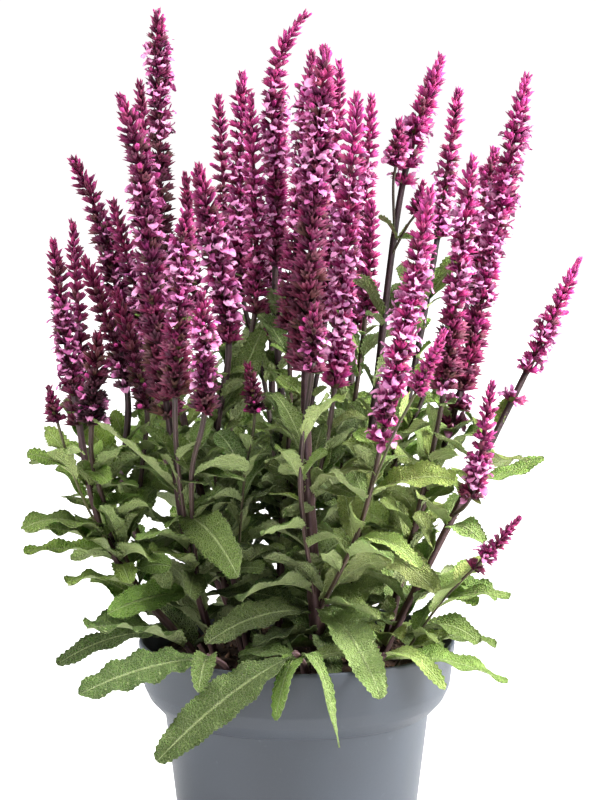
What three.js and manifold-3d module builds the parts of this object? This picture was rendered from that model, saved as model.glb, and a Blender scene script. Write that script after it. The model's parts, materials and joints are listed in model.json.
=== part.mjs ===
// A potted perennial salvia: square leafy stems with upright flower spikes, in a plastic nursery pot.
// Millimetres, +Z up. The origin is the centre of the pot's foot, and -Y is the front.
import * as THREE from "three";
import Module from "manifold-3d";
import { mergeVertices } from "three/addons/utils/BufferGeometryUtils.js";

const wasm = await Module();
wasm.setup();

// ---- Driving dimensions ----
const GAP = 0.3; // clearance between neighbouring pieces
const POT_HEIGHT = 150;
const RIM_RADIUS = 95;
const FOOT_RADIUS = 67;
const COLLAR_BOTTOM = 108; // height at which the collar meets the tapered body
const BODY_TOP_RADIUS = 79.5;
const WALL = 1.6;
const POT_SEGMENTS = 30;
const DRAIN = { count: 4, radius: 3.5, ring: 48 };
const SOIL_TOP = 137;
const SOIL_SEGMENTS = 20;
const SOIL_BUMP = 1.6;
const STEM_DEPTH = 22; // how far a stem reaches down into the soil

const STEM_ROOT_RADIUS = 3.7;
const STEM_NECK_RADIUS = 2.3;
const BRANCH_RADIUS = 1.9;
const TWIG_RADIUS = 1.1;

const WHORL_PITCH = 9.6; // height between whorls on a spike
const RACHIS_RADIUS = 3.4; // depth of the hollows between the calyces
const BUD_RADIUS = 6.8;
const FLORET_RADIUS = 11.6;
const SEED_RADIUS = 8.6;
const CALYX_RISE = 5.0; // how far a calyx tip stands above its own whorl
const CONE_LENGTH = 17; // the tapering bud cone at the top of a spike

const BLADE = 0.7; // leaf thickness
const FOLD_LENGTH = 69; // leaves longer than this are folded along the rib
const LEAF_CLEAR = 4.2; // from one leaf's surface points to another's
const STEM_CLEAR = 3.2;
const SPIKE_CLEAR = 3.0;
const POT_CLEAR = 2.0;

// Each shoot grows through four points: its start, a bend, the foot of its flower spike and the tip.
// A main shoot starts at [x, y] in the soil. A side shoot starts at a height on the shoot it names.
// Then follow the stretch of the spike with open florets, from foot (0) to tip (1), and the girth of the
// spike, which is 0 for a shoot that ends in leaves. The last two numbers, if any, are how far the spike sways
// in X and Y on its way to the tip. A twin stands so close to its parent that their spikes grow together.
const SHOOTS = [
  ["far_left", [-52, -32], [-110, -40, 215], [-130, -25, 300], [-142, -18, 390], [0.1, 0.6], 0.85],
  ["far_left_back", ["far_left", 198], [-126, -12, 262], [-128, 6, 300], [-134, 26, 398], [0, 0.1], 0.85],
  ["far_left_dark", ["far_left", 188], [-118, -46, 262], [-118, -56, 288], [-113, -60, 342], [0, 0.3], 1],
  ["far_left_twig", ["far_left", 207], [-124, -52, 245], [-137, -62, 290], [-142, -64, 312], [0, 0], 0.7],
  ["left_main", [-48, -8], [-65, -33, 215], [-75, -58, 302], [-101, -38, 475], [0.35, 0.8], 1.05, [5, 0]],
  ["left_pink", ["left_main", 196], [-68, -62, 262], [-69, -77, 307], [-62, -78, 412], [0.4, 0.9], 0.95],
  ["left_front", ["left_main", 183], [-60, -66, 262], [-52, -88, 300], [-53, -97, 368], [0.2, 0.7], 0.9],
  ["left_tall", [-32, 12], [-57, 20, 230], [-78, 22, 340], [-82, 15, 522], [0.6, 0.92], 0.9],
  ["left_outer", [-54, 8], [-102, 5, 230], [-101, 2, 300], [-126, 3, 380], [0, 0.2], 0.95],
  ["left_outer_side", ["left_outer", 215], [-90, -14, 268], [-88, -22, 292], [-106, -20, 362], [0, 0], 0.9],
  ["left_lean", [-30, 26], [-80, 52, 250], [-97, 52, 310], [-136, 50, 435], [0.1, 0.65], 0.95, [4, 0]],
  ["left_lean_twin", ["left_lean", 282], [-93, 48, 297], [-89, 45, 311], [-111, 38, 410], [0.1, 0.6], 0.9],
  ["left_back", ["left_lean", 198], [-82, 76, 295], [-86, 86, 340], [-96, 76, 478], [0, 0.2], 0.85],
  ["back_left_thin", [-20, 34], [-50, 78, 250], [-62, 98, 325], [-70, 112, 420], [0, 0.1], 0.8],
  ["back_left", ["back_left_thin", 192], [-40, 90, 285], [-42, 104, 340], [-49, 116, 470], [0.2, 0.5], 0.85],
  ["left_inner", [-28, -4], [-48, -8, 265], [-40, -16, 330], [-57, -27, 435], [0.1, 0.7], 1.05],
  ["front_bud", ["left_inner", 182], [-30, -50, 258], [-24, -66, 296], [-28, -70, 325], [0, 0], 0.75],
  ["left_inner_back", ["left_inner", 240], [-34, 2, 305], [-25, 6, 345], [-27, 8, 474], [0.2, 0.6], 0.85],
  ["middle_tall", [-12, 16], [-8, 30, 260], [-13, 34, 370], [5, 30, 520], [0.2, 0.7], 0.95, [-13, 0]],
  ["middle_back", ["middle_tall", 218], [-22, 48, 310], [-33, 56, 350], [-33, 62, 486], [0.25, 0.7], 0.95],
  ["middle_behind", ["middle_tall", 214], [6, 24, 275], [17, 14, 340], [25, 12, 494], [0.3, 0.75], 0.85],
  ["middle_front", ["middle_tall", 210], [-4, 10, 285], [-4, 0, 335], [9, 4, 498], [0.4, 0.85], 0.9],
  ["centre", [14, -24], [9, -42, 210], [5, -62, 320], [16, -52, 503], [0.5, 0.85], 1.1],
  ["centre_right", ["centre", 234], [16, -38, 268], [22, -28, 305], [35, -8, 475], [0.1, 0.75], 1],
  ["centre_front", ["centre", 173], [2, -78, 262], [9, -100, 330], [10, -106, 362], [0, 0.4], 0.85],
  ["front_right", ["centre", 170], [35, -60, 225], [50, -80, 290], [76, -66, 425], [0, 0.75], 1],
  ["front_right_bud", ["front_right", 252], [56, -96, 292], [66, -110, 314], [82, -121, 351], [0, 0], 0.75],
  ["front_low", [6, -66], [4, -76, 151], [-1, -92, 162], [-3, -96, 164], [0, 0], 0],
  ["left_low", [-38, -58], [-43, -66, 149], [-51, -79, 157], [-54, -84, 160], [0, 0], 0],
  ["right_front_low", [42, -56], [46, -64, 149], [50, -77, 157], [52, -83, 160], [0, 0], 0],
  ["right_bare", [30, 8], [45, 18, 275], [65, 24, 430], [86, 30, 496], [0, 0.35], 1],
  ["right_bare_bud", ["right_bare", 390], [57, 8, 424], [58, 2, 432], [60, -4, 460], [0, 0.3], 0.8],
  ["right_bare_seed", ["right_bare", 378], [66, 8, 398], [70, 0, 405], [74, -6, 424], [0, 0], 0.7],
  ["right_tall", [52, 12], [68, 6, 205], [97, -2, 300], [136, 20, 485], [0.3, 0.85], 1],
  ["right_inner", ["right_tall", 190], [82, -26, 280], [86, -40, 312], [101, -38, 440], [0.4, 0.8], 0.95],
  ["right_lean", [48, -14], [86, -20, 215], [136, 2, 310], [167, 8, 376], [0, 0.45], 0.9],
  ["right_lean_bud", ["right_lean", 228], [99, -44, 240], [103, -52, 252], [112, -57, 312], [0, 0.3], 0.85],
  ["right_low", [56, -34], [86, -62, 188], [106, -70, 211], [128, -76, 238], [0, 0.2], 0.65],
  ["back_right", [28, 36], [65, 92, 260], [88, 110, 380], [101, 114, 474], [0, 0.4], 0.85],
  ["back_right_side", ["back_right", 232], [92, 84, 315], [106, 74, 345], [121, 68, 440], [0.2, 0.8], 0.95],
  ["back", [-4, 40], [-14, 92, 250], [-16, 114, 315], [-10, 124, 470], [0.2, 0.6], 0.95],
  ["back_middle", [14, 38], [30, 74, 250], [36, 84, 325], [46, 82, 470], [0.3, 0.7], 0.9],
  ["middle_right", ["back_middle", 204], [38, 54, 305], [42, 44, 345], [45, 40, 410], [0, 0.2], 0.9],
];

// Leaves in set places: the shoot, the height of the leaf's base, its tip, its width, how far its middle is
// lifted as a share of its length, and how many degrees the blade is rolled about its rib.
const SET_LEAVES = [
  ["front_low", 161, [-79, -112, 104], 25, 0.06, 50],
  ["left_low", 155, [-123, -106, 141], 25, 0.06, 36],
  ["left_low", 156, [-58, -104, 140], 15, 0.2, 0],
  ["far_left", 160, [-139, -62, 148], 16, 0.1, 20],
  ["far_left", 212, [-159, -48, 212], 16, 0.02, 15],
  ["far_left", 203, [-96, -72, 198], 14, 0.08, 0],
  ["far_left", 256, [-108, -66, 256], 14, 0.08, -20],
  ["far_left_twig", 262, [-156, -50, 270], 11, 0.05, 20],
  ["left_main", 181, [-114, -72, 180], 20, 0.06, 35],
  ["left_main", 183, [-19, -60, 204], 16, 0.1, -25],
  ["left_main", 232, [-33, -92, 206], 24, 0.12, -42],
  ["left_main", 248, [-114, -92, 296], 15, 0.03, 25],
  ["left_main", 250, [-30, -72, 258], 12, 0.1, -15],
  ["left_inner", 286, [-22, -6, 342], 19, -0.06, -70],
  ["centre", 172, [-54, -75, 162], 21, 0.1, 35],
  ["centre", 174, [48, -102, 138], 24, 0.14, -10],
  ["front_low", 156, [-12, -109, 127], 14, 0.3, 0],
  ["front_low", 156, [24, -112, 112], 10, 0.35, 0],
  ["right_front_low", 153, [122, -68, 139], 21, 0.08, -22],
  ["right_front_low", 154, [84, -98, 142], 12, 0.22, -10],
  ["right_front_low", 156, [68, -108, 128], 12, 0.25, 0],
  ["front_low", 151, [-34, -58, 152], 13, 0.12, 20],
  ["front_low", 151, [34, -72, 156], 12, 0.12, -20],
  ["centre", 158, [22, -84, 143], 15, 0.1, 0],
  ["centre", 236, [-6, -74, 243], 17, -0.05, -30],
  ["front_right", 248, [20, -92, 268], 13, -0.08, 20],
  ["front_right", 249, [90, -80, 260], 20, 0.1, -30],
  ["front_right", 217, [70, -92, 211], 13, 0.18, -25],
  ["front_right", 219, [27, -46, 252], 12, 0, 30],
  ["front_right", 200, [16, -84, 218], 10, 0.05, -40],
  ["right_bare", 202, [82, -44, 186], 22, 0.1, -35],
  ["right_low", 151, [118, -30, 152], 17, 0.12, -20],
  ["right_lean", 248, [147, 0, 260], 13, -0.05, -20],
  ["right_lean", 258, [81, -44, 281], 12, 0, 20],
  ["right_lean", 222, [69, -64, 248], 15, 0.05, 20],
  ["right_lean", 220, [108, -50, 217], 16, 0.15, -30],
  ["right_lean", 178, [106, -44, 180], 15, 0.15, -30],
  ["right_low", 194, [120, -50, 208], 14, 0.08, -15],
  ["right_low", 182, [122, -80, 192], 14, 0.1, -20],
  ["right_low", 168, [106, -58, 160], 16, 0.15, -30],
  ["right_low", 160, [80, -84, 166], 10, 0.12, 30],
  ["right_bare", 388, [74, 8, 386], 10, 0.1, -20],
  ["right_bare", 335, [42, -2, 345], 9, 0.1, 20],
  ["middle_tall", 350, [-37, 18, 368], 8, 0.05, 0],
];

// The other leaves stand in pairs up each shoot, every pair a quarter turn from the last.
const PAIR_FIRST = 14; // height of the lowest pair above the start of the shoot
const PAIR_STEP = 94;
const PAIR_STOP = 14; // bare stretch below the spike
const LEAF_LONG = 72;
const LEAF_SHORT = 42;
const LEAF_ASPECT = 0.4;
const LEAF_TRIES = 26;
const TWIG_GIRTH = 0.82; // spikes more slender than this stand on bare twigs

// ---- Arithmetic shared by all pieces ----
const V = (x, y, z) => new THREE.Vector3(x, y, z);
const UP = V(0, 0, 1);
const mix = (a, b, t) => a + (b - a) * t;
const radians = (degrees) => (degrees * Math.PI) / 180;

// Repeatable random numbers from 0 to 1.
function seeded(seed) {
  let state = seed >>> 0;
  return () => {
    state = (Math.imul(state, 1664525) + 1013904223) >>> 0;
    return state / 4294967296;
  };
}

// A smooth curve through a start, a bend, a foot and a tip. Its parameter is FOOT at the foot of the spike,
// which sways most at three quarters of its length.
const FOOT = 2 / 3;
function curveThrough(points, sway) {
  const spline = new THREE.CatmullRomCurve3(points, false, "centripetal");
  const point = (t) => {
    const s = Math.min(1, Math.max(0, (t - FOOT) / (1 - FOOT)));
    return spline.getPoint(Math.min(1, Math.max(0, t))).addScaledVector(sway, 9.48 * s * s * s * (1 - s));
  };
  const tangent = (t) => point(t + 0.01).sub(point(t - 0.01)).normalize();
  return { point, tangent };
}

// The parameter at which a shoot that grows upwards reaches height z.
function parameterAt(shoot, z) {
  let low = 0;
  let high = 1;
  for (let i = 0; i < 30; i++) {
    const middle = (low + high) / 2;
    if (shoot.curve.point(middle).z < z) low = middle;
    else high = middle;
  }
  return low;
}

// ---- Solids ----
// A closed surface through rings of equal length. flip(ring, side) turns the diagonal of one quad. The ends
// close on the points start and end, or flat where these are left out.
function loft(rings, { flip = () => false, start = null, end = null } = {}) {
  const n = rings[0].length;
  const last = (rings.length - 1) * n;
  const points = rings.flat();
  const index = [];
  for (let i = 0; i + 1 < rings.length; i++) {
    for (let k = 0; k < n; k++) {
      const a = i * n + k;
      const b = i * n + ((k + 1) % n);
      const c = a + n;
      const d = b + n;
      if (flip(i, k)) index.push(a, b, c, b, d, c);
      else index.push(a, b, d, a, d, c);
    }
  }
  if (start) {
    points.push(start);
    for (let k = 0; k < n; k++) index.push((k + 1) % n, k, points.length - 1);
  } else {
    for (let k = 1; k + 1 < n; k++) index.push(0, k + 1, k);
  }
  if (end) {
    points.push(end);
    for (let k = 0; k < n; k++) index.push(last + k, last + ((k + 1) % n), points.length - 1);
  } else {
    for (let k = 1; k + 1 < n; k++) index.push(last, last + k, last + k + 1);
  }
  return new THREE.BufferGeometry().setFromPoints(points).setIndex(index);
}

// A three.js geometry as a manifold-3d solid, and back.
function toSolid(geometry) {
  const bare = geometry.clone();
  bare.deleteAttribute("normal");
  bare.deleteAttribute("uv");
  const merged = mergeVertices(bare, 1e-4);
  return new wasm.Manifold(
    new wasm.Mesh({
      numProp: 3,
      vertProperties: new Float32Array(merged.attributes.position.array),
      triVerts: new Uint32Array(merged.index.array),
    }),
  );
}

function toGeometry(solid) {
  const mesh = solid.getMesh();
  return new THREE.BufferGeometry()
    .setAttribute("position", new THREE.BufferAttribute(new Float32Array(mesh.vertProperties), 3))
    .setIndex(new THREE.BufferAttribute(new Uint32Array(mesh.triVerts), 1));
}

// Two directions square to a tangent, turned about it by an angle.
function sideways(tangent, turn) {
  const across = V(1, 0, 0).cross(tangent).normalize();
  const other = tangent.clone().cross(across);
  const u = across.clone().multiplyScalar(Math.cos(turn)).addScaledVector(other, Math.sin(turn));
  return [u, tangent.clone().cross(u)];
}

function ring(centre, tangent, radii, turn) {
  const [u, v] = sideways(tangent, turn);
  return radii.map((r, k) => {
    const a = (2 * Math.PI * k) / radii.length;
    return centre.clone().addScaledVector(u, r * Math.cos(a)).addScaledVector(v, r * Math.sin(a));
  });
}

// ---- Where everything grows ----
const shoots = new Map();
for (const [name, start, bend, foot, tip, bloom, girth, sway = [0, 0]] of SHOOTS) {
  const parent = typeof start[0] === "string" ? shoots.get(start[0]) : null;
  const root = parent ? parent.curve.point(parameterAt(parent, start[1])) : V(...start, SOIL_TOP);
  const curve = curveThrough([root, V(...bend), V(...foot), V(...tip)], V(...sway, 0));
  const leafy = root.distanceTo(V(...bend)) + V(...bend).distanceTo(V(...foot));
  const spike = V(...foot).distanceTo(V(...tip));
  const twig = girth > 0 && girth < TWIG_GIRTH;
  const thick = twig ? TWIG_RADIUS : parent ? BRANCH_RADIUS : STEM_ROOT_RADIUS;
  const thin = twig ? TWIG_RADIUS : parent ? BRANCH_RADIUS : STEM_NECK_RADIUS;
  const family = parent ? parent.family : name;
  shoots.set(name, { name, parent, family, curve, leafy, spike, bloom, girth, twig, thick, thin });
}

// How far the calyces or florets reach from the axis, at share s of the spike.
function spikeRadius(shoot, s) {
  const toTip = shoot.spike * (1 - s);
  const cone = Math.min(1, 0.46 + (0.54 * toTip) / CONE_LENGTH);
  const open = s >= shoot.bloom[0] && s <= shoot.bloom[1];
  const below = s < shoot.bloom[0];
  return shoot.girth * cone * (open ? FLORET_RADIUS : below ? SEED_RADIUS : BUD_RADIUS);
}

// Points with a radius that leaves keep clear of: the axes of stems and spikes.
function axisPoints(shoot) {
  const found = [];
  const steps = Math.ceil((shoot.leafy + shoot.spike) / 3);
  for (let i = 0; i <= steps; i++) {
    const t = i / steps;
    const s = (t - FOOT) / (1 - FOOT);
    if (s > 0 && !shoot.girth) break;
    const radius = s < 0 ? shoot.thick + STEM_CLEAR : spikeRadius(shoot, s) + SPIKE_CLEAR;
    found.push({ p: shoot.curve.point(t), radius, spike: s >= 0, family: shoot.family });
  }
  return found;
}
const axes = [...shoots.values()].flatMap(axisPoints);

// Half the width of a leaf at share s of its length, as a share of its greatest half width.
function outline(s) {
  const u = Math.max(0, (s - 0.08) / 0.92);
  return Math.max(0.09, Math.pow(Math.sin(Math.PI * Math.pow(u, 0.82)), 0.52));
}

// The frame of a leaf: points on its midrib, with the directions across and out of the blade.
function leafFrame(leaf, s) {
  const { base, tip, bow, roll } = leaf;
  const long = base.distanceTo(tip);
  const high = base.clone().add(tip).multiplyScalar(0.5).addScaledVector(UP, 2 * bow * long);
  const centre = base.clone().multiplyScalar((1 - s) * (1 - s));
  centre.addScaledVector(high, 2 * s * (1 - s)).addScaledVector(tip, s * s);
  const along = high.clone().sub(base).multiplyScalar(1 - s);
  along.addScaledVector(tip.clone().sub(high), s).normalize();
  const level = tip.clone().sub(base).cross(UP).normalize();
  const out = level.clone().cross(along);
  const turn = radians(roll) * Math.min(1, 2 * s);
  const across = level.clone().multiplyScalar(Math.cos(turn)).addScaledVector(out, Math.sin(turn));
  return { centre, across, out: across.clone().cross(along) };
}

const FOLD = radians(16); // how far each half of a blade is raised from the rib
function bladePoint(leaf, s, side) {
  const { centre, across, out } = leafFrame(leaf, s);
  const w = (leaf.width / 2) * outline(s) * side;
  centre.addScaledVector(across, w * Math.cos(FOLD));
  return centre.addScaledVector(out, Math.abs(w) * Math.sin(FOLD));
}

function leafPoints(leaf) {
  const steps = Math.max(5, Math.ceil(leaf.base.distanceTo(leaf.tip) / 5.5));
  const found = [];
  for (let i = 0; i <= steps; i++) {
    const s = i / steps;
    for (const side of [-1, -0.5, 0, 0.5, 1]) found.push({ p: bladePoint(leaf, s, side), s });
  }
  return found;
}

// The radius of the pot's outside at height z.
function potRadius(z) {
  return z > COLLAR_BOTTOM ? RIM_RADIUS : mix(FOOT_RADIUS, BODY_TOP_RADIUS, z / COLLAR_BOTTOM);
}

function hitsPot(p) {
  const r = Math.hypot(p.x, p.y);
  if (r < RIM_RADIUS - 5) return p.z < SOIL_TOP + 2 * POT_CLEAR;
  return p.z < POT_HEIGHT + POT_CLEAR && r < potRadius(p.z) + POT_CLEAR;
}

function isClear(leaf, points, grown) {
  for (const { p, s } of points) {
    if (hitsPot(p)) return false;
    for (const a of axes) {
      if (a.family === leaf.family && !a.spike) continue;
      if (a.family === leaf.family && s < 0.3) continue;
      if (p.distanceToSquared(a.p) < a.radius * a.radius) return false;
    }
  }
  const middle = bladePoint(leaf, 0.5, 0);
  const reach = leaf.base.distanceTo(leaf.tip) * 0.62;
  for (const other of grown) {
    if (other.middle.distanceTo(middle) > reach + other.reach + LEAF_CLEAR) continue;
    for (const { p, s } of points) {
      for (const o of other.points) {
        if (other.leaf.family === leaf.family && (s < 0.3 || o.s < 0.3)) continue;
        if (p.distanceToSquared(o.p) < LEAF_CLEAR * LEAF_CLEAR) return false;
      }
    }
  }
  return true;
}

// A point at a distance, a heading and a rise from another.
function offset(from, distance, heading, rise) {
  const level = distance * Math.cos(rise);
  const step = V(level * Math.cos(heading), level * Math.sin(heading), distance * Math.sin(rise));
  return step.add(from);
}

// Adds the leaf in the first of several slightly turned, raised and shortened places where it is clear.
function growLeaf(leaf, grown, random) {
  const span = leaf.tip.clone().sub(leaf.base);
  const long = span.length();
  const heading = Math.atan2(span.y, span.x);
  const pitch = Math.asin(span.z / long);
  for (let k = 0; k < LEAF_TRIES; k++) {
    const spread = k / LEAF_TRIES;
    const turned = heading + (random() - 0.5) * radians(130) * spread;
    const raised = pitch + (random() - 0.35) * radians(75) * spread;
    const shorter = long * (1 - 0.35 * spread);
    const tip = offset(leaf.base, shorter, turned, raised);
    const tried = { ...leaf, tip, width: leaf.width * (1 - 0.25 * spread) };
    const points = leafPoints(tried);
    if (!isClear(tried, points, grown)) continue;
    grown.push({ leaf: tried, points, middle: bladePoint(tried, 0.5, 0), reach: shorter * 0.62 });
    return;
  }
}

function setLeaves() {
  return SET_LEAVES.map(([on, height, tip, width, bow, roll]) => {
    const shoot = shoots.get(on);
    const base = shoot.curve.point(parameterAt(shoot, height));
    return { base, tip: V(...tip), width, bow, roll, family: shoot.family };
  });
}

// Pairs of opposite leaves up one shoot, long and level near the soil and short and steep near the spike.
function pairedLeaves(shoot, random) {
  const found = [];
  const bottom = shoot.curve.point(0).z;
  const top = shoot.curve.point(FOOT).z - PAIR_STOP;
  let turn = random() * Math.PI;
  for (let height = bottom + PAIR_FIRST; height < top; height += PAIR_STEP) {
    const base = shoot.curve.point(parameterAt(shoot, height));
    const low = Math.min(1, Math.max(0, (300 - base.z) / (300 - SOIL_TOP)));
    for (const side of [0, Math.PI]) {
      const heading = turn + side + (random() - 0.5) * 0.5;
      const rise = mix(radians(38), radians(4), low) + (random() - 0.5) * 0.5;
      const long = mix(LEAF_SHORT, LEAF_LONG, low) * (0.8 + 0.35 * random());
      const width = long * LEAF_ASPECT * (0.85 + 0.3 * random());
      const bow = 0.06 + 0.12 * random();
      const roll = (random() - 0.5) * 50;
      found.push({ base, tip: offset(base, long, heading, rise), width, bow, roll, family: shoot.family });
    }
    turn += Math.PI / 2;
  }
  return found;
}

function allLeaves() {
  const grown = [];
  const wanted = setLeaves();
  [...shoots.values()].forEach((shoot, i) => {
    if (!shoot.twig) wanted.push(...pairedLeaves(shoot, seeded(40 + i)));
  });
  wanted.forEach((leaf, i) => growLeaf(leaf, grown, seeded(500 + i)));
  return grown.map((g) => g.leaf);
}
const leaves = allLeaves();

// ---- Pieces ----
function stemSolid(shoot) {
  const { curve, thick, thin, parent, leafy } = shoot;
  const steps = 2 * Math.max(1, Math.round(leafy / 75));
  const rings = [];
  const start = curve.tangent(0);
  const corner = (r) => [r, r, r, r];
  const bottom = curve.point(0).addScaledVector(start, -STEM_DEPTH);
  if (!parent) rings.push(ring(bottom, start, corner(thick), 0));
  for (let i = 0; i <= steps; i++) {
    const t = (FOOT * i) / steps;
    const centre = curve.point(t);
    if (i === steps) centre.addScaledVector(curve.tangent(t), -GAP);
    rings.push(ring(centre, curve.tangent(t), corner(mix(thick, thin, i / steps)), 0));
  }
  return toSolid(loft(rings));
}

// A thin blade with a waved, toothed edge, split alike on both faces. A long leaf is folded along its rib.
function leafSolid(leaf) {
  const folded = leaf.base.distanceTo(leaf.tip) > FOLD_LENGTH;
  const stations = folded ? [0.13, 0.34, 0.56, 0.78, 0.96] : [0.18, 0.5, 0.85];
  const rings = stations.map((s, i) => {
    const tooth = i === 0 ? 1 : i % 2 ? 1.1 : 0.9;
    const wave = i === 0 ? 0 : (i % 2 ? 1 : -1) * 0.035 * leaf.width;
    const { centre, out } = leafFrame(leaf, s);
    const left = bladePoint(leaf, s, -tooth).addScaledVector(out, wave);
    const right = bladePoint(leaf, s, tooth).addScaledVector(out, -wave);
    const upper = folded ? [left, centre, right] : [left, right];
    const lower = upper.map((p) => p.clone().addScaledVector(out, -BLADE));
    return [...upper, ...lower.reverse()];
  });
  const flip = (i, k) => k === 0 || (folded && k === 3);
  return toSolid(loft(rings, { flip, start: leaf.base, end: leafFrame(leaf, 1).centre }));
}

// Whorls of pointed calyces and florets raised from one surface: tips and hollows alternate round each ring
// and from ring to ring.
function spikeSolid(shoot, seed) {
  const { curve, girth } = shoot;
  const random = seeded(seed);
  const whorls = Math.max(3, Math.round(shoot.spike / WHORL_PITCH));
  const sides = girth < 0.97 ? 6 : 8;
  const isTip = (i, k) => (i + k) % 2 === 0;
  const rings = [ring(curve.point(FOOT), curve.tangent(FOOT), Array(sides).fill(shoot.thin), 0)];
  for (let i = 0; i < whorls; i++) {
    const s = (i + 0.45) / whorls;
    const t = mix(FOOT, 1, s);
    const tangent = curve.tangent(t);
    const reach = spikeRadius(shoot, s);
    const hollow = Math.min(RACHIS_RADIUS * girth, reach * 0.5);
    const lengths = Array.from({ length: sides }, () => reach * (0.86 + 0.14 * random()));
    const radii = lengths.map((long, k) => (isTip(i, k) ? long : hollow));
    const points = ring(curve.point(t), tangent, radii, 0.35);
    points.forEach((p, k) => {
      const rise = CALYX_RISE * girth * (0.8 + 0.4 * random());
      if (isTip(i, k)) p.addScaledVector(tangent, rise);
    });
    rings.push(points);
  }
  const end = curve.point(1).addScaledVector(curve.tangent(1), 1.5);
  return toSolid(loft(rings, { flip: (i, k) => i > 0 && isTip(i - 1, k), end }));
}

function potSolid() {
  const inner = WALL;
  const profile = [
    [0, 0],
    [FOOT_RADIUS, 0],
    [BODY_TOP_RADIUS, COLLAR_BOTTOM - 0.5],
    [BODY_TOP_RADIUS + 2, COLLAR_BOTTOM],
    [RIM_RADIUS - 6.5, COLLAR_BOTTOM + 7.5],
    [RIM_RADIUS - 3, COLLAR_BOTTOM + 15],
    [RIM_RADIUS, POT_HEIGHT - 2],
    [RIM_RADIUS - 0.6, POT_HEIGHT],
    [RIM_RADIUS - 2 * inner + 0.6, POT_HEIGHT],
    [RIM_RADIUS - 2 * inner - 1.6, COLLAR_BOTTOM + 18],
    [RIM_RADIUS - 6.5 - inner, COLLAR_BOTTOM + 9.5],
    [BODY_TOP_RADIUS - inner, COLLAR_BOTTOM + 1],
    [FOOT_RADIUS - inner, WALL],
    [0, WALL],
  ];
  const body = toSolid(lathe(profile, POT_SEGMENTS));
  const holes = Array.from({ length: DRAIN.count }, (_, i) => {
    const a = (2 * Math.PI * (i + 0.25)) / DRAIN.count;
    const drill = new THREE.CylinderGeometry(DRAIN.radius, DRAIN.radius, 4 * WALL, 6);
    drill.rotateX(Math.PI / 2).translate(DRAIN.ring * Math.cos(a), DRAIN.ring * Math.sin(a), 0);
    return toSolid(drill);
  });
  return holes.reduce((solid, hole) => solid.subtract(hole), body);
}

// A profile of [radius, height] turned about +Z.
function lathe(profile, segments) {
  const points = profile.map(([r, z]) => new THREE.Vector2(r, z));
  return new THREE.LatheGeometry(points, segments).rotateX(Math.PI / 2);
}

// The inside of the pot, filled to just under the collar's rim, with a lumpy top.
function soilSolid(stems) {
  const inset = WALL + GAP + 0.3;
  const top = RIM_RADIUS - 2 * WALL - 1.4 - GAP;
  const profile = [
    [0, WALL + GAP],
    [FOOT_RADIUS - inset, WALL + GAP],
    [BODY_TOP_RADIUS - inset, COLLAR_BOTTOM + 1 + GAP],
    [RIM_RADIUS - 7 - inset, COLLAR_BOTTOM + 10],
    [top - 1, SOIL_TOP - 9],
    [top - 1, SOIL_TOP - 1],
    [top * 0.74, SOIL_TOP],
    [top * 0.38, SOIL_TOP],
    [0, SOIL_TOP],
  ];
  const geometry = lathe(profile, SOIL_SEGMENTS);
  const position = geometry.attributes.position;
  for (let i = 0; i < position.count; i++) {
    const [x, y, z] = [position.getX(i), position.getY(i), position.getZ(i)];
    const lump = Math.sin(x * 0.31 + 1) * Math.cos(y * 0.27) + Math.sin(x * 0.13 - y * 0.19);
    if (z > SOIL_TOP - 2) position.setZ(i, z + SOIL_BUMP * 0.5 * lump);
  }
  return stems.reduce((solid, shoot) => solid.subtract(stemHole(shoot)), toSolid(geometry));
}

function stemHole(shoot) {
  const tangent = shoot.curve.tangent(0);
  const r = shoot.thick + GAP + 0.15;
  const bottom = shoot.curve.point(0).addScaledVector(tangent, -STEM_DEPTH - GAP);
  const top = shoot.curve.point(0).addScaledVector(tangent, 6 * SOIL_BUMP);
  return toSolid(loft([bottom, top].map((centre) => ring(centre, tangent, [r, r, r, r], 0))));
}

// ---- The plant in its pot ----
const LOOKS = {
  pot: { color: 0x6b727c, roughness: 0.5, metalness: 0 },
  soil: { color: 0x33251c, roughness: 1, metalness: 0 },
  leafy: { color: 0x64853f, roughness: 0.7, metalness: 0 },
  spike: { color: 0x9c2f6b, roughness: 0.7, metalness: 0 },
};

const salvia = new THREE.Group();
function addPiece(name, solid, look) {
  const mesh = new THREE.Mesh(toGeometry(solid), new THREE.MeshStandardMaterial(LOOKS[look]));
  mesh.name = name;
  salvia.add(mesh);
}

const mains = [...shoots.values()].filter((shoot) => !shoot.parent);
addPiece("pot", potSolid(), "pot");
addPiece("soil", soilSolid(mains), "soil");
for (const main of mains) {
  const stems = [...shoots.values()].filter((shoot) => shoot.family === main.name).map(stemSolid);
  const blades = leaves.filter((leaf) => leaf.family === main.name).map(leafSolid);
  addPiece(`stem_${main.name}`, wasm.Manifold.union([...stems, ...blades]), "leafy");
}
const spikes = [...shoots.values()].filter((shoot) => shoot.girth > 0);
for (const shoot of spikes.filter(({ name }) => !name.endsWith("_twin"))) {
  const together = spikes.filter(({ name }) => name === shoot.name || name === `${shoot.name}_twin`);
  const solids = together.map((one) => spikeSolid(one, 100 + spikes.indexOf(one)));
  addPiece(`spike_${shoot.name}`, wasm.Manifold.union(solids), "spike");
}

export default salvia;
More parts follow.
